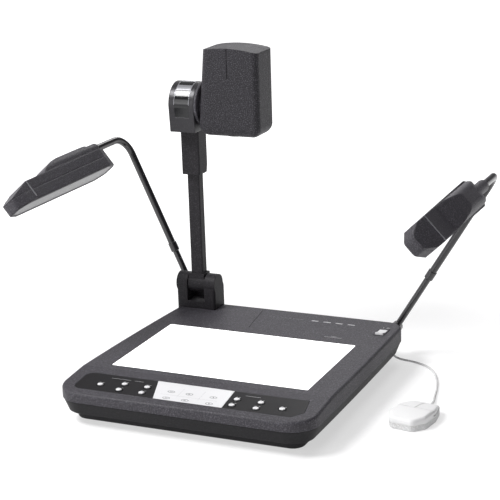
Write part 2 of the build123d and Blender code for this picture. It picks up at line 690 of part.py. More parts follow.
def head_solid():
    """The head's outer form."""
    solid = Pos(0, HEAD_REAR, 0) * extrude(head_outline(), HEAD_REAR - HEAD_FRONT)
    sides = [
        edge for edge in solid.edges()
        if abs(edge.bounding_box().size.Y) < 0.1 and edge.bounding_box().size.Z > 60
    ]
    solid = fillet(sides, HEAD_CORNER)
    rear_low = solid.edges().group_by(Axis.Z)[0].sort_by(Axis.Y)[-1]
    return fillet(rear_low, HEAD_REAR_ROUND)


def head_cavity():
    """The hollow inside the head."""
    front = HEAD_FRONT + HEAD_WALL
    rear = HEAD_REAR - HEAD_WALL
    hollow = Pos(0, rear, 0) * extrude(head_outline(HEAD_WALL), rear - front)
    tall = [edge for edge in hollow.edges() if edge.bounding_box().size.Z > 60]
    hollow = fillet(tall, HEAD_CORNER - HEAD_WALL)
    rear_low = hollow.edges().group_by(Axis.Z)[0].sort_by(Axis.Y)[-1]
    return fillet(rear_low, HEAD_REAR_ROUND - HEAD_WALL)


HEAD_SCREWS = [
    (HEAD_LEFT_TOP + 10, HEAD_TOP - 16), (HEAD_RIGHT - 13, HEAD_TOP - 16),
    (HEAD_LEFT_BOTTOM + 17, HEAD_BOTTOM + 17.5), (HEAD_RIGHT - 13, HEAD_BOTTOM + 17.5),
]


def head_shell(front):
    """Front or rear half of the head, parted on one upright plane."""
    shell = head_solid() - head_cavity()
    for x, z in HEAD_SCREWS:
        shell += y_rod(HEAD_FRONT + 1, HEAD_REAR - 1, x, z, 3.5)
    if front:
        shell = shell & slab(-300, 300, 0, HEAD_SPLIT_Y, 0, 600)
        shell -= slab(HEAD_X - 3, HEAD_X - 1.4, HEAD_FRONT - 1, HEAD_FRONT + 0.8,
                      HEAD_TOP - 45, 600)
    else:
        shell = shell & slab(-300, 300, HEAD_SPLIT_Y + 0.05, 400, 0, 600)
    shell -= Pos(HEAD_X, LENS_Y, HEAD_BOTTOM - 5) * Cylinder(LENS_R + FIT, 20, align=LOW)
    shell -= x_rod(BLOCK_RIGHT, FLANGE_X, HINGE_Y, TILT_Z, TILT_SHAFT_R + FIT)
    return shell


def tilt_shaft():
    """Shaft of the head tilt with the camera's mounting plate on its end."""
    shaft = x_rod(BLOCK_LEFT + END_WALL + 0.6, FLANGE_X + 1, HINGE_Y, TILT_Z, TILT_SHAFT_R)
    plate = slab(FLANGE_X, FLANGE_X + 2.5, HINGE_Y - 20, HINGE_Y + 15, TILT_Z - 15, TILT_Z + 24)
    shelf = slab(FLANGE_X, HEAD_X + 24, LENS_Y - 16, LENS_Y + 16, TILT_Z + 22, TILT_Z + 24)
    return shaft + plate + shelf


def tilt_ring():
    """Ring that turns with the head, and the boss that meets the head's side."""
    ring = x_rod(BLOCK_RIGHT + 0.3, BLOCK_RIGHT + RING_W, HINGE_Y, TILT_Z, TILT_R)
    ring = chamfer(ring.edges().group_by(Axis.X)[-1], 1)
    boss = x_rod(BLOCK_RIGHT + RING_W - 1, HEAD_LEFT_TOP, HINGE_Y, TILT_Z, TILT_R - 11)
    hole = x_rod(BLOCK_RIGHT, FLANGE_X, HINGE_Y, TILT_Z, TILT_SHAFT_R)
    return ring + (boss - head_solid()) - hole


def lens_barrel():
    """Zoom lens barrel looking out of the head's underside."""
    top = TILT_Z + 22
    outer = Pos(HEAD_X, LENS_Y, HEAD_BOTTOM + 1) * Cylinder(LENS_R, 18, align=LOW)
    body = Pos(HEAD_X, LENS_Y, HEAD_BOTTOM + 19) * Cylinder(15.5, top - HEAD_BOTTOM - 19, align=LOW)
    mouth = Pos(HEAD_X, LENS_Y, HEAD_BOTTOM) * Cone(18, 13, 9, align=LOW)
    return outer + body - mouth


def lens_glass():
    """Front lens, bedded in the barrel's mouth."""
    disc = Pos(HEAD_X, LENS_Y, HEAD_BOTTOM + 6) * Cylinder(14, 4, align=LOW)
    mouth = Pos(HEAD_X, LENS_Y, HEAD_BOTTOM) * Cone(18, 13, 9, align=LOW)
    return disc & mouth


def camera_board():
    """Camera circuit board on the shelf over the lens."""
    top = TILT_Z + 24
    board = slab(HEAD_X - 26, HEAD_X + 24, LENS_Y - 15, LENS_Y + 15, top, top + 1.6)
    board += slab(HEAD_X - 8, HEAD_X + 8, LENS_Y - 8, LENS_Y + 8, top + 1.6, top + 5)
    return board


# ---------------------------------------------------------------- lamps
def lamp_geometry(side):
    """Pivot, arm direction, bend corner, run direction and the lamp's own plane."""
    out = -1 if side == "left" else 1
    lean = radians(LAMP_LEAN[side])
    swivel = radians(LAMP_SWIVEL[side])
    tilt = radians(LAMP_TILT[side])
    pivot = Vector(LAMP_PIVOT_X[side], LAMP_PIVOT_Y, LAMP_PIVOT_Z)
    arm = Vector(out * sin(lean), 0, cos(lean))
    corner = pivot + arm * ARM_LENGTH
    run = Vector(-out * sin(swivel) * arm.Z, -cos(swivel), out * sin(swivel) * arm.X)
    level = (Vector(0, 0, 1) - run * run.Z).normalized()
    outward = level.cross(run) * out
    crown = level * cos(tilt) + outward * sin(tilt)
    place = Plane(origin=corner + run * ARM_RUN, x_dir=(run * -1).cross(crown), z_dir=crown)
    return pivot, arm, corner, run, place


def lamp_brackets():
    """Two studs in the rear of the case, each with its pivot pin and retaining head."""
    studs = []
    eye_face = LAMP_PIVOT_Y - LAMP_EYE_T / 2 - 0.3
    far_face = LAMP_PIVOT_Y + LAMP_EYE_T / 2 + 0.3
    for x in LAMP_PIVOT_X.values():
        stud = y_rod(HUB_REAR - 11, eye_face, x, LAMP_PIVOT_Z, LAMP_EYE_R)
        stud += y_rod(eye_face, far_face, x, LAMP_PIVOT_Z, LAMP_PIN_R)
        stud += y_rod(far_face, far_face + 2.5, x, LAMP_PIVOT_Z, LAMP_PIN_R + 2.5)
        studs.append(stud)
    return Compound(children=studs)


def lamp_lower_arm(side):
    """Pivot eye, short rod and the spigot that the upper arm turns on."""
    pivot, arm, _, _, _ = lamp_geometry(side)
    near = LAMP_PIVOT_Y - LAMP_EYE_T / 2
    far = LAMP_PIVOT_Y + LAMP_EYE_T / 2
    eye = y_rod(near, far, pivot.X, pivot.Z, LAMP_EYE_R)
    stub = rod(pivot, pivot + arm * (STUB_LENGTH - 0.4), STUB_R)
    spigot = rod(pivot + arm * 20, pivot + arm * (STUB_LENGTH + SPIGOT_L - 2), SPIGOT_R)
    return eye + stub + spigot - y_rod(near - 1, far + 1, pivot.X, pivot.Z, LAMP_PIN_R + RUN_FIT)


def lamp_upper_arm(side):
    """Bent tube with a collar at its foot; its far end turns in the lamp's neck."""
    pivot, arm, corner, run, _ = lamp_geometry(side)
    start = pivot + arm * STUB_LENGTH
    end = corner + run * (ARM_RUN + ARM_INSERT - 1)
    path = FilletPolyline(start, corner, end, radius=ARM_BEND)
    tube = sweep(Plane(origin=start, z_dir=arm) * Circle(ARM_R), path)
    collar = rod(start, start + arm * COLLAR_L, COLLAR_R)
    collar = chamfer(collar.edges().filter_by(GeomType.CIRCLE), 0.8)
    return tube + collar - rod(start - arm, start + arm * SPIGOT_L, SPIGOT_R + RUN_FIT)


def lamp_outline(inset=0.0):
    """Lamp seen from above: a long body, a little slimmer at the nose, with cut corners."""
    half = LAMP_W / 2
    nose = LAMP_NOSE_W / 2
    outline = Polyline(
        (-half + LAMP_END_CUT, 0), (half - LAMP_END_CUT, 0), (half, -LAMP_END_RUN),
        (nose, -LAMP_L + LAMP_END_RUN), (nose - LAMP_END_CUT, -LAMP_L),
        (-nose + LAMP_END_CUT, -LAMP_L), (-nose, -LAMP_L + LAMP_END_RUN),
        (-half, -LAMP_END_RUN), close=True,
    )
    face = make_face(outline)
    face = fillet(face.vertices(), LAMP_CORNER)
    return offset(face, -inset) if inset else face


def lamp_prism(inset, low, high):
    """The lamp's outline between two heights."""
    return Pos(0, 0, low) * extrude(lamp_outline(inset), high - low)


def lamp_upper_shell():
    """Top cover with its nose, crown and neck for the arm, in the lamp's own frame."""
    cover = lamp_prism(0, LAMP_SEAM_Z + 0.1, LAMP_TOP_Z)
    nose = make_face(Polyline(
        (-LAMP_CAP_START, LAMP_TOP_Z), (-LAMP_CAP_START, 20), (-LAMP_L - 5, 20),
        (-LAMP_L - 5, LAMP_SEAM_Z), (-LAMP_L, LAMP_SEAM_Z + 1.5), close=True,
    ))
    cover -= extrude(Plane.YZ * nose, LAMP_W, both=True)
    side = make_face(Polyline(
        (-LAMP_DOME_START + 5, LAMP_TOP_Z - 2), (-LAMP_DOME_START, LAMP_DOME_Z - 2),
        (-LAMP_DOME_START - 12, LAMP_DOME_Z), (-LAMP_DOME_FLAT, LAMP_DOME_Z),
        (-LAMP_DOME_FLAT - 28, LAMP_DOME_Z - 4), (-LAMP_DOME_END + 12, LAMP_DOME_Z - 11),
        (-LAMP_DOME_END, LAMP_TOP_Z - 2), close=True,
    ))
    across = Rectangle(LAMP_DOME_W, 2 * LAMP_DOME_Z + 40)
    across = fillet(across.vertices().group_by(Axis.Y)[-1], 12)
    across = Plane.XZ * Pos(0, -20) * across
    dome = extrude(Plane.YZ * side, LAMP_W, both=True) & extrude(across, LAMP_L)
    dome = dome & extrude(Plane.YZ * side, LAMP_W, both=True)
    neck = y_rod(-LAMP_DOME_START - 10, 0, 0, 0, NECK_R)
    neck += slab(-NECK_R, NECK_R, -LAMP_DOME_START - 10, -2, LAMP_TOP_Z - 3, 0)
    shell = cover + dome + neck
    hollow = lamp_prism(LAMP_WALL, LAMP_SEAM_Z - 1, LAMP_TOP_Z - LAMP_WALL)
    hollow -= slab(-60, 60, -LAMP_L - 5, -LAMP_CAP_START + 2, -100, 100)
    hollow += slab(-LAMP_DOME_W / 2 + 6, LAMP_DOME_W / 2 - 6, -LAMP_DOME_FLAT - 4,
                   -LAMP_DOME_START - 12, LAMP_SEAM_Z - 1, LAMP_DOME_Z - 4)
    return shell - hollow - y_rod(-ARM_INSERT, 2, 0, 0, ARM_R + RUN_FIT)


def lamp_lower_shell():
    """Lower cover with a window for the diffuser, in the lamp's own frame."""
    shell = lamp_prism(0, LAMP_RIM_Z, LAMP_SEAM_Z)
    shell = chamfer(shell.edges().group_by(Axis.Z)[0], 1.5)
    shell -= lamp_prism(LAMP_WALL, LAMP_RIM_Z + 2, LAMP_SEAM_Z + 1)
    return shell - lamp_prism(5, LAMP_RIM_Z - 1, LAMP_RIM_Z + 3)


def lamp_diffuser():
    """Prismatic sheet in the window of the lower cover."""
    return lamp_prism(5 + FIT, LAMP_RIM_Z + 0.6, LAMP_RIM_Z + 2.6)


def lamp_tube():
    """Twin fluorescent tube with its socket."""
    z = (LAMP_RIM_Z + LAMP_SEAM_Z) / 2 + 1
    tube = slab(-15, 15, -48, -26, LAMP_RIM_Z + 3.2, LAMP_SEAM_Z + 3)
    far = -LAMP_L + 52
    for x in (-8, 8):
        tube += y_rod(far, -48, x, z, 5.5)
    return tube + slab(-8, 8, far + 2, far + 10, z - 3, z + 3)


# ---------------------------------------------------------------- mouse
MOUSE_PLACE = Location((MOUSE_X, MOUSE_Y, 0), (0, 0, MOUSE_TURN))
MOUSE_CROWN_R = 200.0
BUTTON_GAP = 0.5
KEY_START = MOUSE_L / 2 - 36.0
KEY_LOW = 11.5
KEY_TRAVEL = 0.8


def mouse_solid(inset=0.0):
    """The mouse's full outer form about its own centre, nose towards +Y."""
    half_l = MOUSE_L / 2
    half_w = MOUSE_W / 2
    outline = Polyline(
        (-half_w + 12, -half_l), (half_w - 12, -half_l), (half_w, -half_l + 18),
        (half_w, half_l - 30), (half_w - 8, half_l), (-half_w + 8, half_l),
        (-half_w, half_l - 30), (-half_w, -half_l + 18), close=True,
    )
    face = make_face(outline)
    face = fillet(face.vertices(), 9)
    if inset:
        face = offset(face, -inset)
    body = extrude(face, MOUSE_H - inset)
    crown = x_rod(-60, 60, -10, MOUSE_H - inset - MOUSE_CROWN_R, MOUSE_CROWN_R)
    body = body & crown
    if not inset:
        top = [edge for edge in body.edges() if edge.center().Z > MOUSE_H / 2
               and edge.bounding_box().size.Z < 14]
        body = fillet(top, 4)
    return body


def mouse_bottom():
    """Lower tray of the mouse."""
    tray = mouse_solid() & slab(-60, 60, -80, 80, 0, MOUSE_SEAM_Z)
    tray -= mouse_solid(MOUSE_WALL) & slab(-60, 60, -80, 80, MOUSE_WALL, 60)
    tray -= y_rod(MOUSE_L / 2 - 6, MOUSE_L / 2 + 5, 0, MOUSE_CORD_Z, CORD_D / 2 + 0.5)
    return MOUSE_PLACE * tray


def mouse_top():
    """Upper shell of the mouse, open at the nose for the two keys."""
    shell = mouse_solid() & slab(-60, 60, -80, 80, MOUSE_SEAM_Z + 0.1, 60)
    shell -= mouse_solid(MOUSE_WALL) & slab(-60, 60, -80, KEY_START - 3, 0, 60)
    shell -= slab(-60, 60, KEY_START - BUTTON_GAP, 80, KEY_LOW - KEY_TRAVEL - BUTTON_GAP, 60)
    inner = MOUSE_W / 2 - 8
    shell -= slab(-inner, inner, KEY_START - 4, MOUSE_L / 2 - 6, 0, KEY_LOW - 4)
    return MOUSE_PLACE * shell


def mouse_key(side):
    """Left (-1) or right (+1) key of the mouse."""
    near = BUTTON_GAP / 2
    x0, x1 = (near, 60) if side > 0 else (-60, -near)
    key = mouse_solid() & slab(x0, x1, KEY_START, 80, KEY_LOW, 60)
    return MOUSE_PLACE * key


# ---------------------------------------------------------------- mouse plug and cord
PLUG_END_Y = PANEL_Y + 24
BOOT_END_Y = PLUG_END_Y + 16
MOUSE_CORD_Z = 5.0
CORD_POINTS = [
    (128.0, 239.3, 27.0),
    (128.0, 262.0, 24.0),
    (131.0, 284.0, 12.0),
    (146.0, 284.0, 2.2),
    (152.0, 256.0, 2.1),
    (158.0, 226.0, 2.1),
    (176.0, 203.0, 2.1),
    (206.0, 199.0, 2.1),
    (236.0, 182.0, 2.1),
    (257.0, 144.0, 2.1),
    (269.0, 105.0, 2.1),
    (275.5, 72.0, 2.1),
    (282.6, 44.5, 3.6),
    (279.1, 20.4, 5.0),
]


def mouse_plug():
    """Round plug in the rear panel with a tapered boot."""
    plug = y_rod(PANEL_Y - 6, PANEL_Y + REAR_PANEL_T, SOCKET_X, SOCKET_Z, SOCKET_R - 1.5)
    plug += y_rod(PANEL_Y + REAR_PANEL_T, PLUG_END_Y, SOCKET_X, SOCKET_Z, SOCKET_R)
    boot = Plane(origin=(SOCKET_X, PLUG_END_Y, SOCKET_Z), z_dir=(0, 1, 0))
    return plug + boot * Cone(4.2, 2.4, BOOT_END_Y - PLUG_END_Y, align=LOW)


def cord_radii(points):
    """Largest neat arc at each corner of the cord's route."""
    radii = []
    for before, here, after in zip(points, points[1:], points[2:]):
        first = Vector(*here) - Vector(*before)
        second = Vector(*after) - Vector(*here)
        half_turn = radians(first.get_angle(second)) / 2
        radii.append(0.45 * min(first.length, second.length) / tan(half_turn))
    return radii


def mouse_cord():
    """The cord as a round tube along its route on the table."""
    radii = cord_radii(CORD_POINTS)
    path = FilletPolyline(*CORD_POINTS, radius=radii)
    start = Plane(origin=path @ 0, z_dir=path % 0)
    tube = sweep(start * Circle(CORD_D / 2), path)
    section = pi * CORD_D ** 2 / 4
    print("cord radii", [round(radius, 1) for radius in radii])
    print("cord length", round(path.length, 1), "volume ratio",
          round(tube.volume / (section * path.length), 4))
    return tube


# ---------------------------------------------------------------- build everything
def main():
    """Write every piece."""
    save("upper_case", upper_case())
    save("lower_case", lower_case())
    save("case_screws", case_screws())
    save("rubber_feet", rubber_feet())
    save("stage_panel", stage_panel())
    save("light_tray", light_tray())
    save("stage_tubes", stage_tubes())
    save("control_inlay", control_inlay())
    save("membrane_panel", membrane_panel())
    for name, x, y in button_spots():
        save(name, push_button(x, y))
    save("key_board", key_board())
    save("rocker_bezel", rocker_bezel())
    save("power_rocker", rocker())
    save("main_board", main_board())
    save("power_supply", power_supply())
    save("rear_panel", rear_panel())
    save("mains_inlet", mains_inlet())
    save("column_hub", column_hub())
    save("hinge_pin", hinge_pin())
    save("column_post", column_post())
    save("column_sleeve", column_sleeve())
    save("glide_liner", glide_liner())
    save("tilt_block", tilt_block())
    save("block_band", block_band())
    save("tilt_bearings", tilt_bearings())
    save("tilt_shaft", tilt_shaft())
    save("tilt_ring", tilt_ring())
    save("head_front_shell", head_shell(True))
    save("head_rear_shell", head_shell(False))
    save("lens_barrel", lens_barrel())
    save("lens_glass", lens_glass())
    save("camera_board", camera_board())
    save("lamp_brackets", lamp_brackets())
    shells = {
        "upper_shell": lamp_upper_shell(),
        "lower_shell": lamp_lower_shell(),
        "diffuser": lamp_diffuser(),
        "tube": lamp_tube(),
    }
    for side in ("left", "right"):
        place = lamp_geometry(side)[4]
        save(f"lamp_{side}_lower_arm", lamp_lower_arm(side))
        save(f"lamp_{side}_upper_arm", lamp_upper_arm(side))
        for piece, shape in shells.items():
            save(f"lamp_{side}_{piece}", place * shape)
    save("mouse_bottom", mouse_bottom())
    save("mouse_top", mouse_top())
    save("mouse_key_left", mouse_key(-1))
    save("mouse_key_right", mouse_key(1))
    save("mouse_plug", mouse_plug())
    save("mouse_cord", mouse_cord())
    print(len(PARTS), "pieces")


main()
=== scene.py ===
# %% [markdown]
# A document camera: a flat base with a lit stage, a folding column with a camera head,
# two lamps on bent arms and a small mouse on a cord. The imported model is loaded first,
# because every piece made here takes its place from it. All sizes are in metres.

# %% Load the frame
import bpy
import bmesh
import json
import math
from mathutils import Matrix, Vector


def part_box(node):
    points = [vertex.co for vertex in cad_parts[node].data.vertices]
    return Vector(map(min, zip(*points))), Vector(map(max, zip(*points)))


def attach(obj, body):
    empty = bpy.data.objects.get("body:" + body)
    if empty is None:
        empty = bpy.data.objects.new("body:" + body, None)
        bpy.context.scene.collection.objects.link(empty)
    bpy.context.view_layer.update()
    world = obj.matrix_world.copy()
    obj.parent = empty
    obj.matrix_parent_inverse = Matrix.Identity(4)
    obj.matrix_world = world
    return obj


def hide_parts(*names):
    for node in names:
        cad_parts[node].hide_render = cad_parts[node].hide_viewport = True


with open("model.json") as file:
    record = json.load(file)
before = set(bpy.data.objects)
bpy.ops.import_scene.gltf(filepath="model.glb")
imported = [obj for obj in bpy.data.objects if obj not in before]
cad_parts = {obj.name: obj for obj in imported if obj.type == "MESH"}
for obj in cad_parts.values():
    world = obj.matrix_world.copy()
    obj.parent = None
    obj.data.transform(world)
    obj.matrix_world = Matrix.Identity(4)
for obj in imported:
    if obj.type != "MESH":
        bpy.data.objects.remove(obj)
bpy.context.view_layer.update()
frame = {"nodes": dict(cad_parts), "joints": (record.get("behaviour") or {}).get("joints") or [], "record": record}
NODES = frame["nodes"]
JOINTS = {joint["name"]: joint for joint in frame["joints"]}
MM = 0.001

# %% [markdown]
# The camera comes first, since the cord has to lie where it is seen. It is a long lens
# well back from the table, looking a little down from the front right, and it is turned
# slightly about its own axis.

# %% The camera
CAMERA_TURN = math.radians(24.555)
CAMERA_RAISE = math.radians(16.203)
CAMERA_ROLL = math.radians(-1.917)
CAMERA_SPOT = Vector((904.46, -1933.28, 834.58)) * MM


def make_camera():
    """Camera at the front right, with its axes worked out from turn, raise and roll."""
    data = bpy.data.cameras.new("camera")
    data.sensor_width = 36.0
    data.lens = 113.67
    data.shift_x = 0.0102
    data.shift_y = -0.0006
    data.clip_end = 20.0
    camera = bpy.data.objects.new("camera", data)
    bpy.context.scene.collection.objects.link(camera)
    back = Vector((
        math.sin(CAMERA_TURN) * math.cos(CAMERA_RAISE),
        -math.cos(CAMERA_TURN) * math.cos(CAMERA_RAISE),
        math.sin(CAMERA_RAISE),
    ))
    level = (-back).cross(Vector((0, 0, 1))).normalized()
    rise = level.cross(-back)
    right = level * math.cos(CAMERA_ROLL) + rise * math.sin(CAMERA_ROLL)
    up = rise * math.cos(CAMERA_ROLL) - level * math.sin(CAMERA_ROLL)
    turn = Matrix((right, up, back)).transposed()
    camera.matrix_world = Matrix.Translation(CAMERA_SPOT) @ turn.to_4x4()
    bpy.context.scene.camera = camera
    return camera


camera = make_camera()
print("lens", camera.data.lens, "mm")

# %% [markdown]
# The mouse cord leaves a boot on the rear panel, drops to the table, comes round the
# corner of the base and runs forward to the nose of the mouse. It is one smooth line
# with a round section.

# %% The mouse cord
CORD_DIAMETER = 3.5 * MM
CORD_POINTS = [
    (128.0, 239.3, 27.0),
    (128.0, 262.0, 24.0),
    (131.0, 284.0, 12.0),
    (146.0, 284.0, 2.2),
    (152.0, 256.0, 2.1),
    (158.0, 226.0, 2.1),
    (176.0, 203.0, 2.1),
    (206.0, 199.0, 2.1),
    (236.0, 182.0, 2.1),
    (257.0, 144.0, 2.1),
    (269.0, 105.0, 2.1),
    (275.5, 72.0, 2.1),
    (282.6, 44.5, 3.6),
    (279.1, 20.4, 5.0),
]
POINT_RADIUS = 0.002        # kept small because a curve's box grows by it


def make_cord():
    """The cord as a smooth curve with a round bevel."""
    curve = bpy.data.curves.new("cord_jacket", "CURVE")
    curve.dimensions = "3D"
    curve.bevel_depth = CORD_DIAMETER / 2 / POINT_RADIUS
    curve.bevel_resolution = 6
    curve.resolution_u = 16
    curve.use_fill_caps = True
    line = curve.splines.new("NURBS")
    line.points.add(len(CORD_POINTS) - 1)
    for point, place in zip(line.points, CORD_POINTS):
        point.co = (*[value * MM for value in place], 1.0)
        point.radius = POINT_RADIUS
    line.order_u = 3
    line.use_endpoint_u = True
    cord = bpy.data.objects.new("cord_jacket", curve)
    bpy.context.scene.collection.objects.link(cord)
    return cord


cord_jacket = make_cord()
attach(cord_jacket, "base")
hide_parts("mouse_cord")

# %% [markdown]
# Every hard surface here is moulded or painted, so a few effects serve them all: the fine
# grain of a spark-eroded mould, edges polished by handling, and the faint cloudiness of
# an old plastic surface. Each effect is a node group, built once, that gives back a
# colour, a mask or a normal. The shader itself stays in each material.

# %% Shared shader groups
def new_group(name, inputs, outputs):
    """An empty shader group with named number inputs and typed outputs."""
    group = bpy.data.node_groups.new(name, "ShaderNodeTree")
    for label, value in inputs.items():
        socket = group.interface.new_socket(label, in_out="INPUT", socket_type="NodeSocketFloat")
        socket.default_value = value
    for label, kind in outputs.items():
        group.interface.new_socket(label, in_out="OUTPUT", socket_type=kind)
    enter = group.nodes.new("NodeGroupInput")
    leave = group.nodes.new("NodeGroupOutput")
    return group, enter, leave


def moulded_grain_group():
    """Normal of a fine cellular mould grain over a soft unevenness."""
    group, enter, leave = new_group(
        "moulded_grain", {"Scale": 900.0, "Strength": 0.2, "Edge radius": 0.0012},
        {"Normal": "NodeSocketVector"})
    place = group.nodes.new("ShaderNodeTexCoord")
    grain = group.nodes.new("ShaderNodeTexVoronoi")
    cloud = group.nodes.new("ShaderNodeTexNoise")
    cloud.inputs["Detail"].default_value = 4.0
    join = group.nodes.new("ShaderNodeMath")
    join.operation = "ADD"
    bump = group.nodes.new("ShaderNodeBump")
    bump.inputs["Distance"].default_value = 0.0004
    soft_edge = group.nodes.new("ShaderNodeBevel")
    soft_edge.samples = 4
    links = group.links
    links.new(place.outputs["Object"], grain.inputs["Vector"])
    links.new(place.outputs["Object"], cloud.inputs["Vector"])
    links.new(enter.outputs["Scale"], grain.inputs["Scale"])
    links.new(enter.outputs["Scale"], cloud.inputs["Scale"])
    links.new(grain.outputs["Distance"], join.inputs[0])
    links.new(cloud.outputs["Fac"], join.inputs[1])
    links.new(join.outputs[0], bump.inputs["Height"])
    links.new(enter.outputs["Strength"], bump.inputs["Strength"])
    links.new(enter.outputs["Edge radius"], soft_edge.inputs["Radius"])
    links.new(soft_edge.outputs["Normal"], bump.inputs["Normal"])
    links.new(bump.outputs["Normal"], leave.inputs["Normal"])
    return group


def edge_wear_group():
    """Mask that is bright where an edge has been rubbed."""
    group, enter, leave = new_group(
        "edge_wear", {"Amount": 0.5, "Patchiness": 60.0}, {"Mask": "NodeSocketFloat"})
    bevel = group.nodes.new("ShaderNodeBevel")
    bevel.samples = 4
    bevel.inputs["Radius"].default_value = 0.0012
    flat = group.nodes.new("ShaderNodeNewGeometry")
    dot = group.nodes.new("ShaderNodeVectorMath")
    dot.operation = "DOT_PRODUCT"
    ramp = group.nodes.new("ShaderNodeMapRange")
    ramp.inputs["From Min"].default_value = 0.995
    ramp.inputs["From Max"].default_value = 0.86
    place = group.nodes.new("ShaderNodeTexCoord")
    patch = group.nodes.new("ShaderNodeTexNoise")
    patch.inputs["Detail"].default_value = 5.0
    patch_mask = group.nodes.new("ShaderNodeMapRange")
    patch_mask.inputs["From Min"].default_value = 0.35
    patch_mask.inputs["From Max"].default_value = 0.65
    both = group.nodes.new("ShaderNodeMath")
    both.operation = "MULTIPLY"
    scaled = group.nodes.new("ShaderNodeMath")
    scaled.operation = "MULTIPLY"
    links = group.links
    links.new(bevel.outputs["Normal"], dot.inputs[0])
    links.new(flat.outputs["Normal"], dot.inputs[1])
    links.new(dot.outputs["Value"], ramp.inputs["Value"])
    links.new(place.outputs["Object"], patch.inputs["Vector"])
    links.new(enter.outputs["Patchiness"], patch.inputs["Scale"])
    links.new(patch.outputs["Fac"], patch_mask.inputs["Value"])
    links.new(ramp.outputs["Result"], both.inputs[0])
    links.new(patch_mask.outputs["Result"], both.inputs[1])
    links.new(both.outputs[0], scaled.inputs[0])
    links.new(enter.outputs["Amount"], scaled.inputs[1])
    links.new(scaled.outputs[0], leave.inputs["Mask"])
    return group


def surface_cloud_group():
    """Slow and fast unevenness, both about one half, for tone and gloss."""
    group, enter, leave = new_group(
        "surface_cloud", {"Slow scale": 9.0, "Fast scale": 700.0},
        {"Slow": "NodeSocketFloat", "Fast": "NodeSocketFloat"})
    place = group.nodes.new("ShaderNodeTexCoord")
    for speed, detail in (("Slow", 6.0), ("Fast", 2.0)):
        noise = group.nodes.new("ShaderNodeTexNoise")
        noise.inputs["Detail"].default_value = detail
        group.links.new(place.outputs["Object"], noise.inputs["Vector"])
        group.links.new(enter.outputs[f"{speed} scale"], noise.inputs["Scale"])
        group.links.new(noise.outputs["Fac"], leave.inputs[speed])
    return group


GRAIN = moulded_grain_group()
WEAR = edge_wear_group()
CLOUD = surface_cloud_group()
print("shader groups", [group.name for group in bpy.data.node_groups])

# %% [markdown]
# One function makes each opaque finish. The colour moves a little between a darker and a
# lighter tone with the cloud, fine specks break it up close to, edges go paler where
# they are rubbed, and the roughness drifts with the same cloud.

# %% Finishes for plastic and paint
def mix_colour(nodes, links, factor, first, second):
    """A colour mix with a linked factor; first and second are colours or sockets."""
    mix = nodes.new("ShaderNodeMix")
    mix.data_type = "RGBA"
    links.new(factor, mix.inputs["Factor"])
    for label, value in (("A", first), ("B", second)):
        socket = [s for s in mix.inputs if s.name == label and s.type == "RGBA"][0]
        if isinstance(value, tuple):
            socket.default_value = (*value, 1.0)
        else:
            links.new(value, socket)
    return [s for s in mix.outputs if s.type == "RGBA"][0]


def finish(name, colour, roughness=0.5, grain=0.25, grain_scale=900.0, wear=0.4,
           wear_tint=2.2, drift=0.12, speck=0.08, metallic=0.0, coat=0.0, specular=0.5,
           edge=0.0012):
    """An opaque finish: drifting tone, fine specks, rubbed edges and a mould grain."""
    material = bpy.data.materials.new(f"{name}_finish")
    material.use_nodes = True
    nodes, links = material.node_tree.nodes, material.node_tree.links
    shader = nodes["Principled BSDF"]
    shader.inputs["Metallic"].default_value = metallic
    shader.inputs["Coat Weight"].default_value = coat
    shader.inputs["Coat Roughness"].default_value = 0.12
    shader.inputs["Specular IOR Level"].default_value = specular
    cloud = nodes.new("ShaderNodeGroup")
    cloud.node_tree = CLOUD
    dark = tuple(value * (1 - drift) for value in colour)
    light = tuple(min(1.0, value * (1 + drift)) for value in colour)
    tone = mix_colour(nodes, links, cloud.outputs["Slow"], dark, light)
    pale = tuple(min(1.0, value * (1 + 6 * speck) + speck * 0.02) for value in colour)
    speck_mask = nodes.new("ShaderNodeMapRange")
    speck_mask.inputs["From Min"].default_value = 0.5
    speck_mask.inputs["From Max"].default_value = 0.8
    links.new(cloud.outputs["Fast"], speck_mask.inputs["Value"])
    tone = mix_colour(nodes, links, speck_mask.outputs["Result"], tone, pale)
    if wear:
        rubbed = nodes.new("ShaderNodeGroup")
        rubbed.node_tree = WEAR
        rubbed.inputs["Amount"].default_value = wear
        worn = tuple(min(1.0, value * wear_tint + 0.01) for value in colour)
        tone = mix_colour(nodes, links, rubbed.outputs["Mask"], tone, worn)
    links.new(tone, shader.inputs["Base Color"])
    gloss = nodes.new("ShaderNodeMapRange")
    gloss.inputs["To Min"].default_value = max(0.02, roughness - 0.07)
    gloss.inputs["To Max"].default_value = min(1.0, roughness + 0.07)
    links.new(cloud.outputs["Slow"], gloss.inputs["Value"])
    links.new(gloss.outputs["Result"], shader.inputs["Roughness"])
    bumps = nodes.new("ShaderNodeGroup")
    bumps.node_tree = GRAIN
    bumps.inputs["Scale"].default_value = grain_scale
    bumps.inputs["Strength"].default_value = grain
    bumps.inputs["Edge radius"].default_value = edge
    links.new(bumps.outputs["Normal"], shader.inputs["Normal"])
    return material


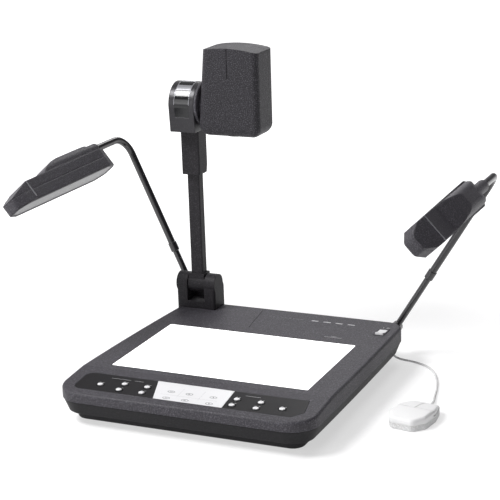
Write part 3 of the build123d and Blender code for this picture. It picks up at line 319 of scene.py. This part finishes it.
CHARCOAL = finish("case_charcoal", (0.040, 0.038, 0.044), roughness=0.5, grain=0.4,
                  grain_scale=700.0, edge=0.002, specular=0.22, speck=0.4)
CHARCOAL_LOW = finish("case_lower_charcoal", (0.010, 0.0095, 0.011), roughness=0.55, grain=0.4,
                      grain_scale=700.0, edge=0.002, specular=0.2, speck=0.2)
# Darker copies of the case charcoal for the column and the head: painted shade.
COLUMN_SHADED = finish("column_shaded_charcoal", (0.014, 0.013, 0.015), roughness=0.5, grain=0.3,
                     grain_scale=700.0, specular=0.15, speck=0.3)
HEAD_SHADED = finish("head_charcoal", (0.020, 0.019, 0.022), roughness=0.45, grain=0.5,
                   grain_scale=600.0, edge=0.002, specular=0.15, speck=0.6, wear=0.7, drift=0.25)
LAMP_CHARCOAL = finish("lamp_charcoal", (0.042, 0.040, 0.046), roughness=0.45, grain=0.5,
                       grain_scale=600.0, edge=0.003, specular=0.2, speck=0.3)
ARM_BLACK = finish("arm_black", (0.010, 0.0095, 0.011), roughness=0.22, grain=0.08,
                   grain_scale=600.0, wear=0.5, coat=0.35, specular=0.6)
DIFFUSER = finish("diffuser_grey", (0.15, 0.15, 0.155), roughness=0.35, grain=0.9,
                  grain_scale=300.0, wear=0.0, speck=0.15, drift=0.2)
TRAY_WHITE = finish("tray_white", (0.8, 0.8, 0.79), roughness=0.3, grain=0.05, wear=0.0,
                    speck=0.0, drift=0.03)
INLAY = finish("inlay_black", (0.006, 0.0055, 0.0065), roughness=0.45, grain=0.1, wear=0.25,
               specular=0.2)
KEY_WHITE = finish("key_white", (0.70, 0.70, 0.71), roughness=0.35, grain=0.05, wear=0.2,
                   wear_tint=1.2, drift=0.04, speck=0.01)
STEEL = finish("steel", (0.55, 0.55, 0.56), roughness=0.3, grain=0.05, wear=0.3,
               wear_tint=1.3, metallic=1.0)
RUBBER = finish("rubber_black", (0.015, 0.015, 0.015), roughness=0.8, grain=0.3, wear=0.2)
BOARD = finish("board_green", (0.03, 0.14, 0.05), roughness=0.4, grain=0.1, wear=0.0)
PANEL_BLACK = finish("panel_black", (0.016, 0.016, 0.017), roughness=0.5, grain=0.2, wear=0.3)
NYLON = finish("bearing_nylon", (0.6, 0.6, 0.56), roughness=0.45, grain=0.1, wear=0.0)
SILVER = finish("block_silver", (0.03, 0.029, 0.032), roughness=0.3, grain=0.15, wear=0.5,
                metallic=0.3, edge=0.002, specular=0.3)
# Gloss black for the band, also used for the painted shade of the rear crease and the vent slots.
GLOSS_BLACK_AND_SHADE = finish("band_gloss", (0.004, 0.004, 0.005), roughness=0.14, grain=0.02, wear=0.2,
              coat=0.3, specular=0.3)
# Bright metal for the trim, and for the painted highlights on the tilt block and the lamp noses.
BRIGHT_TRIM_AND_HIGHLIGHT = finish("bright_trim_and_highlight", (0.30, 0.30, 0.32), roughness=0.35, grain=0.05, wear=0.2,
                wear_tint=1.2, metallic=0.7, drift=0.08)
PRINT = finish("print_grey", (0.45, 0.45, 0.46), roughness=0.5, grain=0.1, wear=0.0, drift=0.2)
PRINT_DARK = finish("print_dark", (0.16, 0.16, 0.17), roughness=0.5, grain=0.1, wear=0.0,
                    drift=0.2)
IVORY = finish("mouse_ivory", (0.8, 0.8, 0.8), roughness=0.5, grain=0.15, wear=0.1,
               wear_tint=1.05, drift=0.03, speck=0.01, edge=0.003)
SPECKLED = finish("mouse_band", (0.58, 0.58, 0.58), roughness=0.6, grain=0.6,
                  grain_scale=420.0, wear=0.0, drift=0.35, speck=0.14)
JACKET = finish("cord_grey", (0.6, 0.6, 0.6), roughness=0.5, grain=0.1, wear=0.0)
print("finishes", len(bpy.data.materials))

# %% [markdown]
# The lit stage is an opal sheet over two tubes. It glows evenly and a touch less towards
# its edges, so it is a pale plastic with some light of its own. The lens is dark coated
# glass.

# %% The lit sheet and the lens glass
def lit_sheet(name, colour, strength):
    """Opal plastic with an even glow that falls off slightly in patches."""
    material = finish(name, colour, roughness=0.35, grain=0.0, wear=0.0, drift=0.02,
                      speck=0.0)
    nodes, links = material.node_tree.nodes, material.node_tree.links
    shader = nodes["Principled BSDF"]
    shader.inputs["Emission Strength"].default_value = strength
    cloud = [node for node in nodes if node.type == "GROUP"][0]
    glow = mix_colour(nodes, links, cloud.outputs["Slow"], (0.94, 0.95, 0.95), (1.0, 1.0, 1.0))
    links.new(glow, shader.inputs["Emission Color"])
    return material


def coated_glass(name, tint):
    """Dark lens glass with a clear gloss."""
    material = bpy.data.materials.new(f"{name}_finish")
    material.use_nodes = True
    shader = material.node_tree.nodes["Principled BSDF"]
    shader.inputs["Base Color"].default_value = (*tint, 1.0)
    shader.inputs["Roughness"].default_value = 0.03
    shader.inputs["Transmission Weight"].default_value = 0.6
    shader.inputs["Coat Weight"].default_value = 0.5
    return material


OPAL = lit_sheet("opal_white", (0.9, 0.9, 0.9), 0.9)
LENS = coated_glass("lens_glass", (0.05, 0.04, 0.09))
SLOT_FINISH = {
    material.name.removesuffix("_finish"): material for material in (
        CHARCOAL, CHARCOAL_LOW, LAMP_CHARCOAL, ARM_BLACK, DIFFUSER, TRAY_WHITE, INLAY,
        KEY_WHITE, STEEL, RUBBER, BOARD, PANEL_BLACK, NYLON, SILVER, GLOSS_BLACK_AND_SHADE, IVORY, JACKET,
        OPAL, LENS)
}
print("slots", len(SLOT_FINISH))

# %% [markdown]
# Every imported piece takes the finish of its slot. The column and the camera head take
# darker copies of the case charcoal, painted shade for their shaded faces, and the lower
# half of the mouse is speckled, so these pieces have a finish of their own.

# %% Dress every imported piece
def dress(thing, material):
    """Give an object one finish in place of what it has."""
    thing.data.materials.clear()
    thing.data.materials.append(material)


# The column and head pieces take the darker charcoal copies, which paint their shade.
NODE_FINISH = {
    "mouse_bottom": SPECKLED,
    "column_hub": COLUMN_SHADED, "column_post": COLUMN_SHADED, "column_sleeve": COLUMN_SHADED,
    "head_front_shell": HEAD_SHADED, "head_rear_shell": HEAD_SHADED,
}
for entry in frame["record"]["subparts"]:
    plain = SLOT_FINISH[entry["material_slot"]]
    dress(NODES[entry["node"]], NODE_FINISH.get(entry["node"], plain))
dress(cord_jacket, JACKET)
print("dressed", len(NODES), "pieces")

# %% [markdown]
# The small printed and raised details come next. Each is a thin closed piece built from
# an outline and set on its own surface: on the sloped control panel, on the flat rear
# strip, round the tilt block, or round the nose of a lamp.

# %% Tools for thin pieces
_, press_y, press_z = JOINTS["button_1_front_press"]["axis"]
SLOPE_ANGLE = math.atan2(press_y, -press_z)
case_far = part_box("upper_case")[1]
CASE_TOP, REAR_FACE_Y = case_far.z / MM, case_far.y / MM
FOLD_Y = -108.0
PROUD = 0.15


def flat_place(x, y):
    """A place on the level top of the case, in millimetres."""
    return Matrix.Translation((x, y, CASE_TOP))


def slope_place(x, along):
    """A place on the sloped panel, measured up the slope from the fold."""
    turn = Matrix.Rotation(SLOPE_ANGLE, 4, "X")
    return Matrix.Translation((0, FOLD_Y, CASE_TOP)) @ turn @ Matrix.Translation((x, along, 0))


def mesh_piece(name, build, material, body):
    """An object from a bmesh in millimetres, dressed and riding a body."""
    work = bmesh.new()
    build(work)
    bmesh.ops.scale(work, vec=(MM, MM, MM), verts=work.verts)
    bmesh.ops.recalc_face_normals(work, faces=work.faces)
    mesh = bpy.data.meshes.new(name)
    work.to_mesh(mesh)
    work.free()
    piece = bpy.data.objects.new(name, mesh)
    bpy.context.scene.collection.objects.link(piece)
    dress(piece, material)
    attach(piece, body)
    return piece


def add_slab(work, place, outline, low, high):
    """A thin slab over an outline, in a place's own axes."""
    under = [work.verts.new(place @ Vector((x, y, low))) for x, y in outline]
    over = [work.verts.new(place @ Vector((x, y, high))) for x, y in outline]
    work.faces.new(list(reversed(under)))
    work.faces.new(over)
    count = len(outline)
    for index in range(count):
        after = (index + 1) % count
        work.faces.new((under[index], under[after], over[after], over[index]))


def bar(width, height):
    """The outline of a small bar."""
    x, y = width / 2, height / 2
    return [(-x, -y), (x, -y), (x, y), (-x, y)]


def oval(width, height, steps=20):
    """The outline of an oval."""
    return [(width / 2 * math.cos(step * math.tau / steps),
             height / 2 * math.sin(step * math.tau / steps)) for step in range(steps)]


def add_ring(work, place, outer, inner, low, high):
    """A flat ring between two outlines of the same count."""
    count = len(outer)
    rows = []
    for outline, level in ((outer, low), (outer, high), (inner, high), (inner, low)):
        rows.append([work.verts.new(place @ Vector((x, y, level))) for x, y in outline])
    for first, second in zip(rows, rows[1:] + rows[:1]):
        for index in range(count):
            after = (index + 1) % count
            work.faces.new((first[index], first[after], second[after], second[index]))


def skin_strap(work, sections):
    """Close a row of four-cornered sections into a strap with two ends."""
    for first, second in zip(sections, sections[1:]):
        for index in range(4):
            after = (index + 1) % 4
            work.faces.new((first[index], first[after], second[after], second[index]))
    work.faces.new(list(reversed(sections[0])))
    work.faces.new(sections[-1])


print("tools ready")

# %% [markdown]
# The white key panel carries six little grey icons in two rows: an oval key outline with
# a short mark in it. Every push button has a short printed dash behind it and a thin dark
# rim round its well.

# %% Prints on the control panel
ICON_SPOTS = [(-26.4, -43.8), (1.0, -44.3), (36.9, -44.3), (-25.2, -62.6), (2.8, -62.4),
              (38.7, -62.5)]
BUTTON_SPOTS = [(x, along) for x in (-100, -65, 70, 105) for along in (-40.5, -58)]
BUTTON_SPOTS += [(-133, -50), (139.5, -50)]
PRINT_LOW, PRINT_HIGH = 0.08, 0.2          # the key panel stands slightly proud


def build_icons(work):
    """Six oval outlines, each with a bar, an arrow or a dot inside."""
    for number, (x, along) in enumerate(ICON_SPOTS):
        place = slope_place(x, along)
        marks = (bar(4, 0.9), [(-1.6, -1.3), (1.8, 0), (-1.6, 1.3)], oval(2.2, 2.2, 12))
        add_ring(work, place, oval(11, 6), oval(9.6, 4.6), PRINT_LOW, PRINT_HIGH)
        add_slab(work, place, marks[number % 3], PRINT_LOW, PRINT_HIGH)


def build_key_lines(work):
    """Fine lines that part the key panel into its six fields."""
    for x in (-12.5, 19.5):
        add_slab(work, slope_place(x, -44.5), bar(0.35, 26), PRINT_LOW, 0.16)
    add_slab(work, slope_place(4, -53.2), bar(84, 0.3), PRINT_LOW, 0.16)


def build_dashes(work):
    """A broken dash behind each button, and longer ones over the two groups."""
    for number, (x, along) in enumerate(BUTTON_SPOTS):
        place = slope_place(x, along + 6.2)
        add_slab(work, place @ Matrix.Translation((-2.6, 0, 0)), bar(3.2, 0.8), 0, PROUD)
        add_slab(work, place @ Matrix.Translation((1.6 + number % 2, 0, 0)), bar(2.4, 0.8),
                 0, PROUD)
    for x, width in ((-112, 30), (-84, 14), (88, 22)):
        add_slab(work, slope_place(x, -27.5), bar(width, 0.5), 0, PROUD)


def build_wells(work):
    """A thin raised rim round every button."""
    for x, along in BUTTON_SPOTS:
        add_ring(work, slope_place(x, along), oval(12.4, 9.9, 28), oval(10.4, 7.9, 28), 0, 0.4)


mesh_piece("key_icons", build_icons, PRINT_DARK, "base")
mesh_piece("key_lines", build_key_lines, PRINT, "base")
mesh_piece("button_dashes", build_dashes, PRINT, "base")
mesh_piece("button_wells", build_wells, INLAY, "base")
print("icons", len(ICON_SPOTS), "buttons", len(BUTTON_SPOTS))

# %% [markdown]
# The rear strip has a diagonal crease where the column's end of the case meets the rest,
# a row of short printed marks, a thin line and a mark beside the power rocker. The marks
# repeat, so one node tree sets them out in a row, with its count, spacing and size as
# named inputs.

# %% A row of marks as a node tree
def mark_row_tree():
    """Geometry nodes: a row of little slabs with slightly uneven widths."""
    tree = bpy.data.node_groups.new("mark_row", "GeometryNodeTree")
    face = tree.interface
    face.new_socket("Geometry", in_out="INPUT", socket_type="NodeSocketGeometry")
    for label, kind, value in (
            ("Count", "Int", 8), ("Spacing", "Float", 0.008),
            ("Size", "Vector", (0.005, 0.002, 0.0002)), ("Unevenness", "Float", 0.25),
            ("Seed", "Int", 3), ("Material", "Material", None)):
        socket = face.new_socket(label, in_out="INPUT", socket_type=f"NodeSocket{kind}")
        if value is not None:
            socket.default_value = value
    face.new_socket("Geometry", in_out="OUTPUT", socket_type="NodeSocketGeometry")
    nodes, links = tree.nodes, tree.links
    enter, leave = nodes.new("NodeGroupInput"), nodes.new("NodeGroupOutput")
    line = nodes.new("GeometryNodeMeshLine")
    step = nodes.new("ShaderNodeCombineXYZ")
    mark = nodes.new("GeometryNodeMeshCube")
    place = nodes.new("GeometryNodeInstanceOnPoints")
    uneven = nodes.new("FunctionNodeRandomValue")
    lowest = nodes.new("ShaderNodeMath")
    lowest.operation = "SUBTRACT"
    lowest.inputs[0].default_value = 1.0
    stretch = nodes.new("ShaderNodeCombineXYZ")
    stretch.inputs["Y"].default_value = 1.0
    stretch.inputs["Z"].default_value = 1.0
    real = nodes.new("GeometryNodeRealizeInstances")
    paint = nodes.new("GeometryNodeSetMaterial")
    links.new(enter.outputs["Count"], line.inputs["Count"])
    links.new(enter.outputs["Spacing"], step.inputs["X"])
    links.new(step.outputs["Vector"], line.inputs["Offset"])
    links.new(enter.outputs["Size"], mark.inputs["Size"])
    links.new(enter.outputs["Unevenness"], lowest.inputs[1])
    links.new(lowest.outputs[0], uneven.inputs[2])
    uneven.inputs[3].default_value = 1.0
    links.new(enter.outputs["Seed"], uneven.inputs["Seed"])
    links.new(uneven.outputs[1], stretch.inputs["X"])
    links.new(line.outputs["Mesh"], place.inputs["Points"])
    links.new(mark.outputs["Mesh"], place.inputs["Instance"])
    links.new(stretch.outputs["Vector"], place.inputs["Scale"])
    links.new(place.outputs["Instances"], real.inputs["Geometry"])
    links.new(real.outputs["Geometry"], paint.inputs["Geometry"])
    links.new(enter.outputs["Material"], paint.inputs["Material"])
    links.new(paint.outputs["Geometry"], leave.inputs["Geometry"])
    return tree


MARK_ROW = mark_row_tree()


def mark_row(name, start, count, spacing, size, material, body, unevenness=0.25, seed=3):
    """One row of marks in millimetres, realized into a single mesh."""
    seed_mesh = bpy.data.meshes.new("row_seed")
    maker = bpy.data.objects.new("row_seed", seed_mesh)
    bpy.context.scene.collection.objects.link(maker)
    rows = maker.modifiers.new("rows", "NODES")
    rows.node_group = MARK_ROW
    values = {"Count": count, "Spacing": spacing * MM, "Size": [v * MM for v in size],
              "Unevenness": unevenness, "Seed": seed, "Material": material}
    for item in MARK_ROW.interface.items_tree:
        if item.in_out == "INPUT" and item.name in values:
            rows[item.identifier] = values[item.name]
    bpy.context.view_layer.update()
    result = maker.evaluated_get(bpy.context.evaluated_depsgraph_get())
    mesh = bpy.data.meshes.new_from_object(result)
    bpy.data.objects.remove(maker)
    bpy.data.meshes.remove(seed_mesh)
    mesh.transform(Matrix.Translation(Vector(start) * MM))
    piece = bpy.data.objects.new(name, mesh)
    bpy.context.scene.collection.objects.link(piece)
    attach(piece, body)
    return piece


print("inputs", [item.name for item in MARK_ROW.interface.items_tree])

# %% [markdown]
# The single marks are outlines set on the level top: the crease, the fine line and the
# power marks. The dashes, the labels and the slots of the rear vent are rows.

# %% Marks on the rear strip
VENT_DEPTH = 0.25


def build_crease_shade(work):
    """A slim raised lip that runs slantwise across the rear strip, near-black as painted shade in the crease."""
    (rear_x, rear_y), (front_x, front_y) = (-42.0, 196.0), (-30.5, 118.0)
    half = 0.45
    outline = [(front_x - half, front_y), (front_x + half, front_y),
               (rear_x + half, rear_y), (rear_x - half, rear_y)]
    add_slab(work, flat_place(0, 0), outline, 0, 0.3)


def build_fine_line(work):
    """A thin printed line with a short end mark."""
    add_slab(work, flat_place(106, 115), bar(27, 0.7), 0, PROUD)
    add_slab(work, flat_place(106, 119), bar(9, 0.5), 0, PROUD)


def build_power_marks(work):
    """A bar and a ring behind the rocker, for on and off."""
    add_slab(work, flat_place(162.5, 179.5), bar(0.8, 4), 0, PROUD)
    add_ring(work, flat_place(169.5, 179.5), oval(4.2, 4.2), oval(2.8, 2.8), 0, PROUD)


# The crease is near-black: painted shade in its groove.
mesh_piece("rear_crease_shade", build_crease_shade, GLOSS_BLACK_AND_SHADE, "base")
mesh_piece("rear_line", build_fine_line, PRINT, "base")
mesh_piece("power_marks", build_power_marks, PRINT, "base")
mark_row("rear_dashes", (-20, 175.4, CASE_TOP + 0.1), 9, 6.6, (4.6, 1.0, 0.2), PRINT_DARK,
         "base", unevenness=0.4)
mark_row("rear_labels", (54, 176, CASE_TOP + 0.12), 4, 19.5, (11.5, 2.6, 0.24), PRINT,
         "base", unevenness=0.15, seed=5)
# Dark slabs on the rear face: painted shade inside the vent slots.
mark_row("vent_slot_shade", (40, REAR_FACE_Y - VENT_DEPTH, 52.3), 12, 5.5, (2.2, 1.0, 4.6), GLOSS_BLACK_AND_SHADE, "base",
         unevenness=0.0)
print("rear strip marked")

# %% [markdown]
# The gloss band round the tilt block is split into dark windows by bright cross straps,
# which are painted highlights of the lamps on its gloss, and it has a bright bead along both
# of its edges. They follow the round head of the block.

# %% Trim and painted highlights on the tilt block
_, TILT_Y, TILT_Z = (value / MM for value in JOINTS["head_tilt"]["pos_m"])
band_near, band_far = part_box("block_band")
TILT_R = round((band_far.y - band_near.y) / 2 / MM, 1)


def add_arc_strap(work, x0, x1, start, end, inner, outer, steps=18):
    """A strap that wraps round the tilt axis between two angles from the vertical."""
    rings = []
    for step in range(steps + 1):
        angle = math.radians(start + (end - start) * step / steps)
        toward = Vector((0, -math.sin(angle), math.cos(angle)))
        centre = Vector((0, TILT_Y, TILT_Z))
        corners = []
        for x, radius in ((x0, inner), (x1, inner), (x1, outer), (x0, outer)):
            corners.append(work.verts.new(centre + toward * radius + Vector((x, 0, 0))))
        rings.append(corners)
    skin_strap(work, rings)


def build_highlight_straps(work):
    """Cross straps over the band, front and rear: painted highlights of the lamps on its gloss."""
    for start, end in ((-8, 4), (27, 45), (-62, -48)):
        add_arc_strap(work, -160.2, -135.8, start, end, TILT_R - 0.6, TILT_R + 0.25)


def build_beads(work):
    """A slim bead along each edge of the band."""
    for x in (-160.6, -136.3):
        add_arc_strap(work, x, x + 0.9, -85, 86, TILT_R - 0.6, TILT_R + 0.3, steps=60)


# The cross straps paint the highlights on the gloss band; the beads are trim.
mesh_piece("band_highlight_straps", build_highlight_straps, BRIGHT_TRIM_AND_HIGHLIGHT, "sleeve")
mesh_piece("band_beads", build_beads, BRIGHT_TRIM_AND_HIGHLIGHT, "sleeve")
print("tilt block trimmed")

# %% [markdown]
# Each lamp has a bright seam over it, where its nose cap meets the body; the seam is drawn wide and
# bright so that it also carries a painted highlight along the cap edge. The seam is laid out in the
# lamp's own frame, which follows from its tilt joint and its tilt at rest.

# %% Lamp trim
LAMP_TILT = {"left": 40.0, "right": 47.0}
LAMP_L = 243.0
LAMP_SIDE_LOW, LAMP_TOP = -35.0, -8.0
CAP_SEAM_Y = -204.4
# The seam's width takes in the highlight along the cap edge: painted highlight.
CAP_SEAM_AND_HIGHLIGHT_W = 2.6
STRAP_PROUD = 0.25


def lamp_place(side):
    """The lamp's own frame: x across, y towards its arm, z out of its crown."""
    out = -1 if side == "left" else 1
    hinge = JOINTS[f"lamp_{side}_tilt"]
    tilt = math.radians(LAMP_TILT[side])
    run = Vector(hinge["axis"]) * -out
    level = (Vector((0, 0, 1)) - run * run.z).normalized()
    outward = level.cross(run) * out
    crown = level * math.cos(tilt) + outward * math.sin(tilt)
    across = (-run).cross(crown)
    turn = Matrix((across, -run, crown)).transposed().to_4x4()
    return Matrix.Translation(Vector(hinge["pos_m"]) / MM) @ turn


def add_path_strip(work, place, points, width_y, lift):
    """A flat strip through points given as (x, y, z, outward x, outward z)."""
    rings = []
    for x, y, z, ox, oz in points:
        ring = []
        for dy, out in ((-width_y / 2, -0.3), (width_y / 2, -0.3), (width_y / 2, lift),
                        (-width_y / 2, lift)):
            ring.append(work.verts.new(place @ Vector((x + ox * out, y + dy, z + oz * out))))
        rings.append(ring)
    skin_strap(work, rings)


def half_width(y):
    """Half the lamp's width at a distance along it, from 23 mm down to 21 mm."""
    share = (-y - 22.0) / (LAMP_L - 44.0)
    return 23.0 - 2.0 * min(1.0, max(0.0, share))


for side in ("left", "right"):
    place = lamp_place(side)
    wide = half_width(CAP_SEAM_Y)

    def build_cap_seam_and_highlight(work):
        """Bright line over the lamp, just behind its nose cap: the real seam, widened and brightened to paint the
        highlight along the cap edge.
        """
        add_path_strip(work, place, [
            (-wide, CAP_SEAM_Y, LAMP_SIDE_LOW, -1, 0),
            (-wide, CAP_SEAM_Y, LAMP_TOP - 0.2, -1, 0.4),
            (-wide + 0.2, CAP_SEAM_Y, LAMP_TOP, -0.4, 1),
            (wide - 0.2, CAP_SEAM_Y, LAMP_TOP, 0.4, 1),
            (wide, CAP_SEAM_Y, LAMP_TOP - 0.2, 1, 0.4),
            (wide, CAP_SEAM_Y, LAMP_SIDE_LOW, 1, 0),
        ], CAP_SEAM_AND_HIGHLIGHT_W, STRAP_PROUD)

    mesh_piece(f"lamp_{side}_cap_seam", build_cap_seam_and_highlight, BRIGHT_TRIM_AND_HIGHLIGHT, f"lamp_{side}_head")
print("lamps trimmed")

# %% [markdown]
# A plain pale floor with soft studio light: a broad key from above the front left, a
# weaker fill low at the front, a rim from the rear left and a soft light over the column.
# The sky is dim overhead, so that dark plastic keeps its tone, and white at the horizon.
# The floor glows a little, more so far away, which keeps its shadows soft.

# %% Floor, lights and sky
def make_floor():
    """A wide pale floor a hair under the feet."""
    mesh = bpy.data.meshes.new("studio_floor")
    reach = 6.0
    mesh.from_pydata([(-reach, -reach, 0), (reach, -reach, 0), (reach, reach, 0),
                      (-reach, reach, 0)], [], [(0, 1, 2, 3)])
    floor = bpy.data.objects.new("studio_floor", mesh)
    bpy.context.scene.collection.objects.link(floor)
    material = bpy.data.materials.new("studio_floor")
    material.use_nodes = True
    shader = material.node_tree.nodes["Principled BSDF"]
    shader.inputs["Base Color"].default_value = (0.45, 0.45, 0.45, 1.0)
    shader.inputs["Roughness"].default_value = 0.9
    shader.inputs["Specular IOR Level"].default_value = 0.1
    shader.inputs["Emission Color"].default_value = (1.0, 1.0, 1.0, 1.0)
    nodes, links = material.node_tree.nodes, material.node_tree.links
    place = nodes.new("ShaderNodeTexCoord")
    distance = nodes.new("ShaderNodeVectorMath")
    distance.operation = "LENGTH"
    glow = nodes.new("ShaderNodeMapRange")
    glow.inputs["From Min"].default_value = 0.5
    glow.inputs["From Max"].default_value = 1.4
    glow.inputs["To Min"].default_value = 0.58
    glow.inputs["To Max"].default_value = 1.0
    links.new(place.outputs["Object"], distance.inputs[0])
    links.new(distance.outputs["Value"], glow.inputs["Value"])
    links.new(glow.outputs["Result"], shader.inputs["Emission Strength"])
    dress(floor, material)


def area_light(name, spot, aim, size, power):
    """A square soft light at a spot, turned to face its aim."""
    data = bpy.data.lights.new(name, "AREA")
    data.size = size
    data.energy = power
    light = bpy.data.objects.new(name, data)
    light.location = spot
    light.rotation_euler = (Vector(aim) - Vector(spot)).to_track_quat("-Z", "Y").to_euler()
    bpy.context.scene.collection.objects.link(light)


def make_sky(left, right):
    """A dim surround, darker on the right, with a white band at the horizon."""
    world = bpy.data.worlds.new("studio")
    world.use_nodes = True
    nodes, links = world.node_tree.nodes, world.node_tree.links
    sky = nodes["Background"]
    sky.inputs["Color"].default_value = (0.98, 0.96, 1.0, 1.0)
    place = nodes.new("ShaderNodeTexCoord")
    split = nodes.new("ShaderNodeSeparateXYZ")
    both = nodes.new("ShaderNodeMath")
    links.new(place.outputs["Generated"], split.inputs["Vector"])
    for number, (way, low, high, first, last) in enumerate((
            ("X", -0.7, 0.5, left, right), ("Z", 0.1, 0.16, 0.85, 0.0))):
        ramp = nodes.new("ShaderNodeMapRange")
        ramp.inputs["From Min"].default_value = low
        ramp.inputs["From Max"].default_value = high
        ramp.inputs["To Min"].default_value = first
        ramp.inputs["To Max"].default_value = last
        links.new(split.outputs[way], ramp.inputs["Value"])
        links.new(ramp.outputs["Result"], both.inputs[number])
    links.new(both.outputs["Value"], sky.inputs["Strength"])
    bpy.context.scene.world = world


make_floor()
make_sky(0.42, 0.05)
area_light("key", (-1.2, -0.9, 2.2), (0, 0, 0.1), 0.9, 70)
area_light("fill", (-0.9, -2.2, 0.9), (0, 0, 0.2), 1.0, 10)
area_light("rim", (-0.6, 1.9, 1.5), (0, 0, 0.3), 0.8, 7)
area_light("top", (0.2, 1.2, 2.3), (0, 0, 0.3), 0.8, 14)
bpy.context.scene.view_settings.view_transform = "Standard"
print("lights", [light.name for light in bpy.data.lights])
